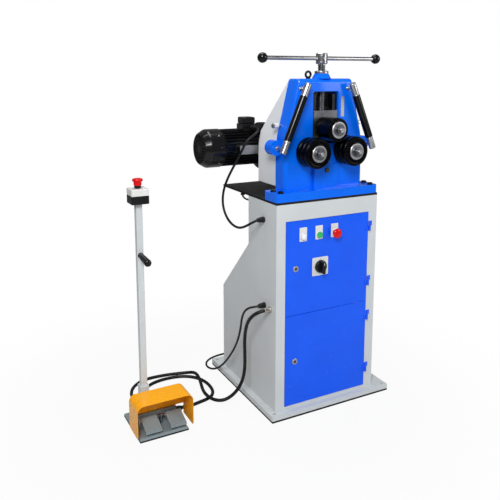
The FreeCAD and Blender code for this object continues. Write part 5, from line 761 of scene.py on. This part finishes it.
def build_pedal_pin():
    """The pedals' pin in its three brackets, and between the pedals two springs: helices of 4.5 turns, whose
    place along the pin grows with the angle."""
    left, right, width = -745, -646, 64
    middle, far = (left + width + right) / 2, right + width
    pin_y, pin_level, pin_length = 162, 46, 171
    plates = [block((start, start + 3), (154, 170), (14, 54), 0, 3, 0.4)
              for start in (left - 4, middle - 1.5, far + 1)]
    pin = lathe((left - 4, pin_y, pin_level), X_AXIS, [(0, 0), (0, 3.4), (0.6, 4), (pin_length, 4), (pin_length, 0)],
                0.3, 32)
    turns = 4.5
    wind = np.linspace(0, turns, 110)
    springs = []
    for start, end in ((middle - 12.5, middle - 2.6), (middle + 2.6, middle + 12.5)):
        angle = 2 * np.pi * wind
        coil = np.column_stack([start + (end - start) * wind / turns, pin_y + 5.8 * np.cos(angle),
                                pin_level + 5.8 * np.sin(angle)])
        springs.append(pipe(coil, 1.0, 10))
    piece("pedal_pin_and_brackets", [*plates, pin], "zinc", "pedal_pivot")
    piece("pedal_springs", springs, "machined", "pedal_pivot")


# ---------------------------------------------------------------- sheet, castings and other formed pieces

# finish of each node and the width of its rounded edges in millimetres
FORMED = {
    "frame_casting": ("cast_enamel", 1.6), "gear_cover": ("cover_enamel", 1.5),
    "gearbox_housing": ("motor_enamel", 1.5), "cabinet_shell": ("cabinet_coat", 1.0),
    "base_plate": ("cabinet_coat", 1.4), "upper_door": ("door_enamel", 1.2), "lower_door": ("door_enamel", 1.2),
    "table_plate": ("plate_coat", 0.8), "rubber_mats": ("rubber", 0.8), "stand_base": ("stand_coat", 0.8),
    "pedal_housing": ("stand_coat", 1.5), "pedal_guard": ("guard_coat", 0.5),
    "slide_block": ("machined", 1.0), "slide_guides": ("dark_machined", 0.8),
    "electrical_panel": ("grey_nylon", 0.8), "mains_plug": ("rubber", 1.0),
    "left_pedal": ("stand_coat", 1.2), "right_pedal": ("stand_coat", 1.2),
}
INNER = {
    "worm_wheel": "bronze", "motor_stator": "copper", "motor_fan": "grey_nylon", "shaft_bearings": "machined",
    "slide_bearings": "machined", "left_gear": "machined", "right_gear": "machined", "pinion_shaft": "machined",
    "rotor": "machined",
}


def dress_nodes():
    """Round the edges of the formed pieces, and give the inner machine parts their finish."""
    for node, (finish, width) in FORMED.items():
        soften(node, finish, width)
    for node, finish in INNER.items():
        NODES[node].data.materials.clear()
        NODES[node].data.materials.append(FINISHES[finish])


# ---------------------------------------------------------------- cables

MOTOR_LEAD = [
    (-176, 289, 1141), (-178, 255, 1139), (-203, 230, 1125), (-245, 236, 1097), (-259, 248, 1058),
    (-272, 263, 1018), (-286, 281, 981), (-298, 297, 944), (-308, 310, 907), (-312, 322, 868),
    (-311, 328, 829), (-309, 318, 796), (-307, 292, 769), (-306, 259, 755), (-306, 224, 750),
    (-307, 189, 752), (-306, 156, 760), (-301, 126, 774), (-289, 105, 789), (-270, 98, 798),
]
MAINS_LEAD = [
    (-270, 88, 448), (-290, 96, 446), (-302, 120, 434), (-303, 150, 408), (-298, 178, 372), (-290, 202, 330),
    (-284, 226, 284), (-281, 254, 236), (-280, 286, 190), (-281, 322, 146), (-282, 360, 104), (-284, 400, 66),
    (-288, 440, 34), (-295, 480, 12), (-303, 516, 4.5), (-300, 552, 4.5), (-280, 582, 4.5), (-250, 602, 4.5),
    (-212, 612, 4.5), (-172, 615, 4.5), (-130, 613.3, 4.5), (-88, 611.5, 4.5), (-46, 610.2, 4.5),
    (-4, 609.4, 4.5),
]
CONTROL_CABLE = [
    (-270, 40, 447), (-292, 46, 442), (-306, 66, 424), (-310, 96, 394), (-306, 124, 356), (-301, 144, 314),
    (-299, 152, 272), (-299, 150, 230), (-300, 147, 188), (-303, 147, 146), (-311, 152, 106),
    (-327, 161, 70), (-350, 172, 42), (-378, 183, 26), (-404, 200, 22.5), (-421, 232, 22.5), (-425, 270, 22.5),
    (-419, 312, 19.5), (-408, 354, 20.5), (-397, 396, 22.5), (-389, 438, 22.5), (-390, 476, 20.5),
    (-410, 504, 11.5), (-446, 522, 7.5), (-490, 533, 7.5), (-536, 539, 7.5), (-582, 541, 7.5),
    (-624, 532, 7.5), (-659, 508, 7.5), (-685, 474, 7.5), (-699, 432, 9.5), (-705, 390, 19.5),
    (-705, 348, 35.5), (-704, 316, 45), (-704, 288, 45),
]
PEDAL_CABLE = [
    (-562, 199, 34), (-538, 204, 31), (-512, 218, 20), (-486, 236, 11), (-456, 248, 7.5), (-424, 254, 7.5),
    (-395, 270, 7.5), (-376, 300, 7.5), (-369, 340, 7.5), (-369, 382, 7.5), (-380, 424, 7.5), (-402, 460, 7.5),
    (-436, 486, 7.5), (-478, 499, 7.5), (-524, 502, 7.5), (-568, 496, 7.5), (-606, 479, 7.5), (-634, 450, 7.5),
    (-650, 412, 7.5), (-659, 372, 9.5), (-665, 334, 17.5), (-666.2, 296, 30), (-666.2, 252, 34),
]


def mains_coil():
    """Six neat turns, 16 points to a turn: the radius falls by 6 mm a turn for three turns on the floor and
    grows as fast for three on top, and the height climbs by a cable's width round turn three."""
    turn = np.arange(1, 6 * 16 + 5) / 16
    radius = np.where(turn < 3, 57 - 6 * turn, 39 + 6 * (turn - 3))
    height = MAINS_WIDTH * (0.5 + np.clip((turn - 2.75) / 0.5, 0, 1))
    angle = turn * 2 * math.pi - math.pi / 2
    points = np.column_stack([COIL_X + radius * np.cos(angle), COIL_Y + radius * np.sin(angle), height])
    return points.tolist()


def cable(name, route, width, node):
    """A round cord along a NURBS line with the route's points, in millimetres, as its control points."""
    line = bpy.data.curves.new(name, "CURVE")
    line.dimensions = "3D"
    line.bevel_depth = width * MM / 2
    line.bevel_resolution = 4
    line.resolution_u = 8
    line.use_fill_caps = True
    spline = line.splines.new("NURBS")
    spline.points.add(len(route) - 1)
    points = np.column_stack([np.array(route) * MM, np.ones(len(route))])
    spline.points.foreach_set("co", points.ravel())
    spline.order_u = 3
    spline.use_endpoint_u = True
    thing = bpy.data.objects.new(name, line)
    bpy.context.scene.collection.objects.link(thing)
    line.materials.append(FINISHES["cable"])
    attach(thing, BODY_OF[node])
    return thing


def lay_cables():
    """Motor lead, mains lead with its coil, control cable and pedal cable."""
    motor = cable("motor_cable", MOTOR_LEAD, 10, "motor_lead")
    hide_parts("motor_lead")
    tail = [(34, 727.6, 17), (6, 727.2, 19), (-10, 727, 19)]
    mains = cable("mains_cable", MAINS_LEAD + mains_coil() + tail, MAINS_WIDTH, "mains_lead")
    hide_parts("mains_lead", "mains_coil")
    control = cable("control_cord", CONTROL_CABLE, 14, "control_cable")
    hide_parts("control_cable")
    pedal = cable("pedal_cord", PEDAL_CABLE, 14, "pedal_cable")
    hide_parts("pedal_cable")


# ---------------------------------------------------------------- camera, light and floor


def put_camera():
    """A camera in front and to the left, a little above the rolls, as a person looks at the machine."""
    lens = bpy.data.cameras.new("view")
    lens.sensor_width = 36
    lens.lens = 44.48
    lens.shift_y = -0.15
    camera = bpy.data.objects.new("view", lens)
    yaw, pitch = math.radians(27.773), math.radians(9.325)
    camera.location = (-1.39296, -1.97310, 1.36437)
    camera.rotation_euler = (math.pi / 2 - pitch, 0, -yaw)
    bpy.context.scene.collection.objects.link(camera)
    bpy.context.scene.camera = camera


def soft_lamp(name, place, aim, size, power):
    """A large square lamp that faces a point."""
    light = bpy.data.lights.new(name, "AREA")
    light.size = size
    light.energy = power
    lamp = bpy.data.objects.new(name, light)
    lamp.location = place
    direction = np.array(aim, float) - np.array(place, float)
    flat = math.hypot(direction[0], direction[1])
    turn = math.atan2(direction[1], direction[0]) - math.pi / 2
    lamp.rotation_euler = (math.atan2(flat, -direction[2]), 0, turn)
    bpy.context.scene.collection.objects.link(lamp)


def set_studio():
    """White surroundings, three soft lamps and a pale floor that keeps the object's shadow."""
    scene = bpy.context.scene
    scene.view_settings.view_transform = "Standard"
    world = bpy.data.worlds.new("studio")
    scene.world = world
    world.use_nodes = True
    tree = world.node_tree
    tree.nodes.clear()
    soft = add(tree, "ShaderNodeBackground", None, {"Color": linear("F6F7F8"), "Strength": 0.24})
    white = add(tree, "ShaderNodeBackground", None, {"Color": (1, 1, 1, 1), "Strength": 1.0})
    rays = add(tree, "ShaderNodeLightPath").outputs
    seen = add(tree, "ShaderNodeMath", {"operation": "MAXIMUM"},
               {0: rays["Is Camera Ray"], 1: rays["Is Transmission Ray"]}).outputs[0]
    mix = add(tree, "ShaderNodeMixShader", None, {0: seen, 1: soft.outputs[0], 2: white.outputs[0]})
    add(tree, "ShaderNodeOutputWorld", None, {0: mix.outputs[0]})
    soft_lamp("key_lamp", (-2.2, -2.6, 3.2), (-0.1, 0.1, 0.8), 1.3, 128)
    soft_lamp("fill_lamp", (2.6, -2.4, 2.0), (0, 0.1, 0.8), 1.7, 44)
    soft_lamp("top_lamp", (-0.3, 0.6, 3.6), (0, 0.2, 0.5), 1.6, 40)

    floor_mesh = bpy.data.meshes.new("studio_floor")
    reach = 12.0
    corners = [(-reach, -reach, 0), (reach, -reach, 0), (reach, reach, 0), (-reach, reach, 0)]
    floor_mesh.from_pydata(corners, [], [(0, 1, 2, 3)])
    floor = bpy.data.objects.new("studio_floor", floor_mesh)
    scene.collection.objects.link(floor)
    material, tree, shader, place = surface("matt_white_floor", "C8C8C8", 0.9)
    glow = add(tree, "ShaderNodeEmission", None, {"Color": (1, 1, 1, 1), "Strength": 1.0})
    seen = add(tree, "ShaderNodeLightPath").outputs["Is Camera Ray"]
    centre = add(tree, "ShaderNodeMapping", None, {"Vector": place, "Location": (0.3, -0.2, 0)}).outputs[0]
    away = add(tree, "ShaderNodeVectorMath", {"operation": "LENGTH"}, {0: centre}).outputs["Value"]
    far = add(tree, "ShaderNodeMapRange", {"interpolation_type": "SMOOTHSTEP"},
              {"Value": away, "From Min": 0.5, "From Max": 1.5, "To Min": 0.92, "To Max": 1.0}).outputs["Result"]
    part = add(tree, "ShaderNodeMath", {"operation": "MULTIPLY"}, {0: seen, 1: far}).outputs[0]
    mix = add(tree, "ShaderNodeMixShader", None, {0: part, 1: shader.outputs[0], 2: glow.outputs[0]})
    tree.links.new(mix.outputs[0], tree.nodes["Material Output"].inputs[0])
    floor_mesh.materials.append(material)


put_camera()
set_studio()
dress_nodes()
lay_cables()
build_rolls()
build_screw()
build_handles()
build_trim()
build_door_fittings()
build_controls()
build_motor()
build_glands()
build_stand()
build_pedal_pin()
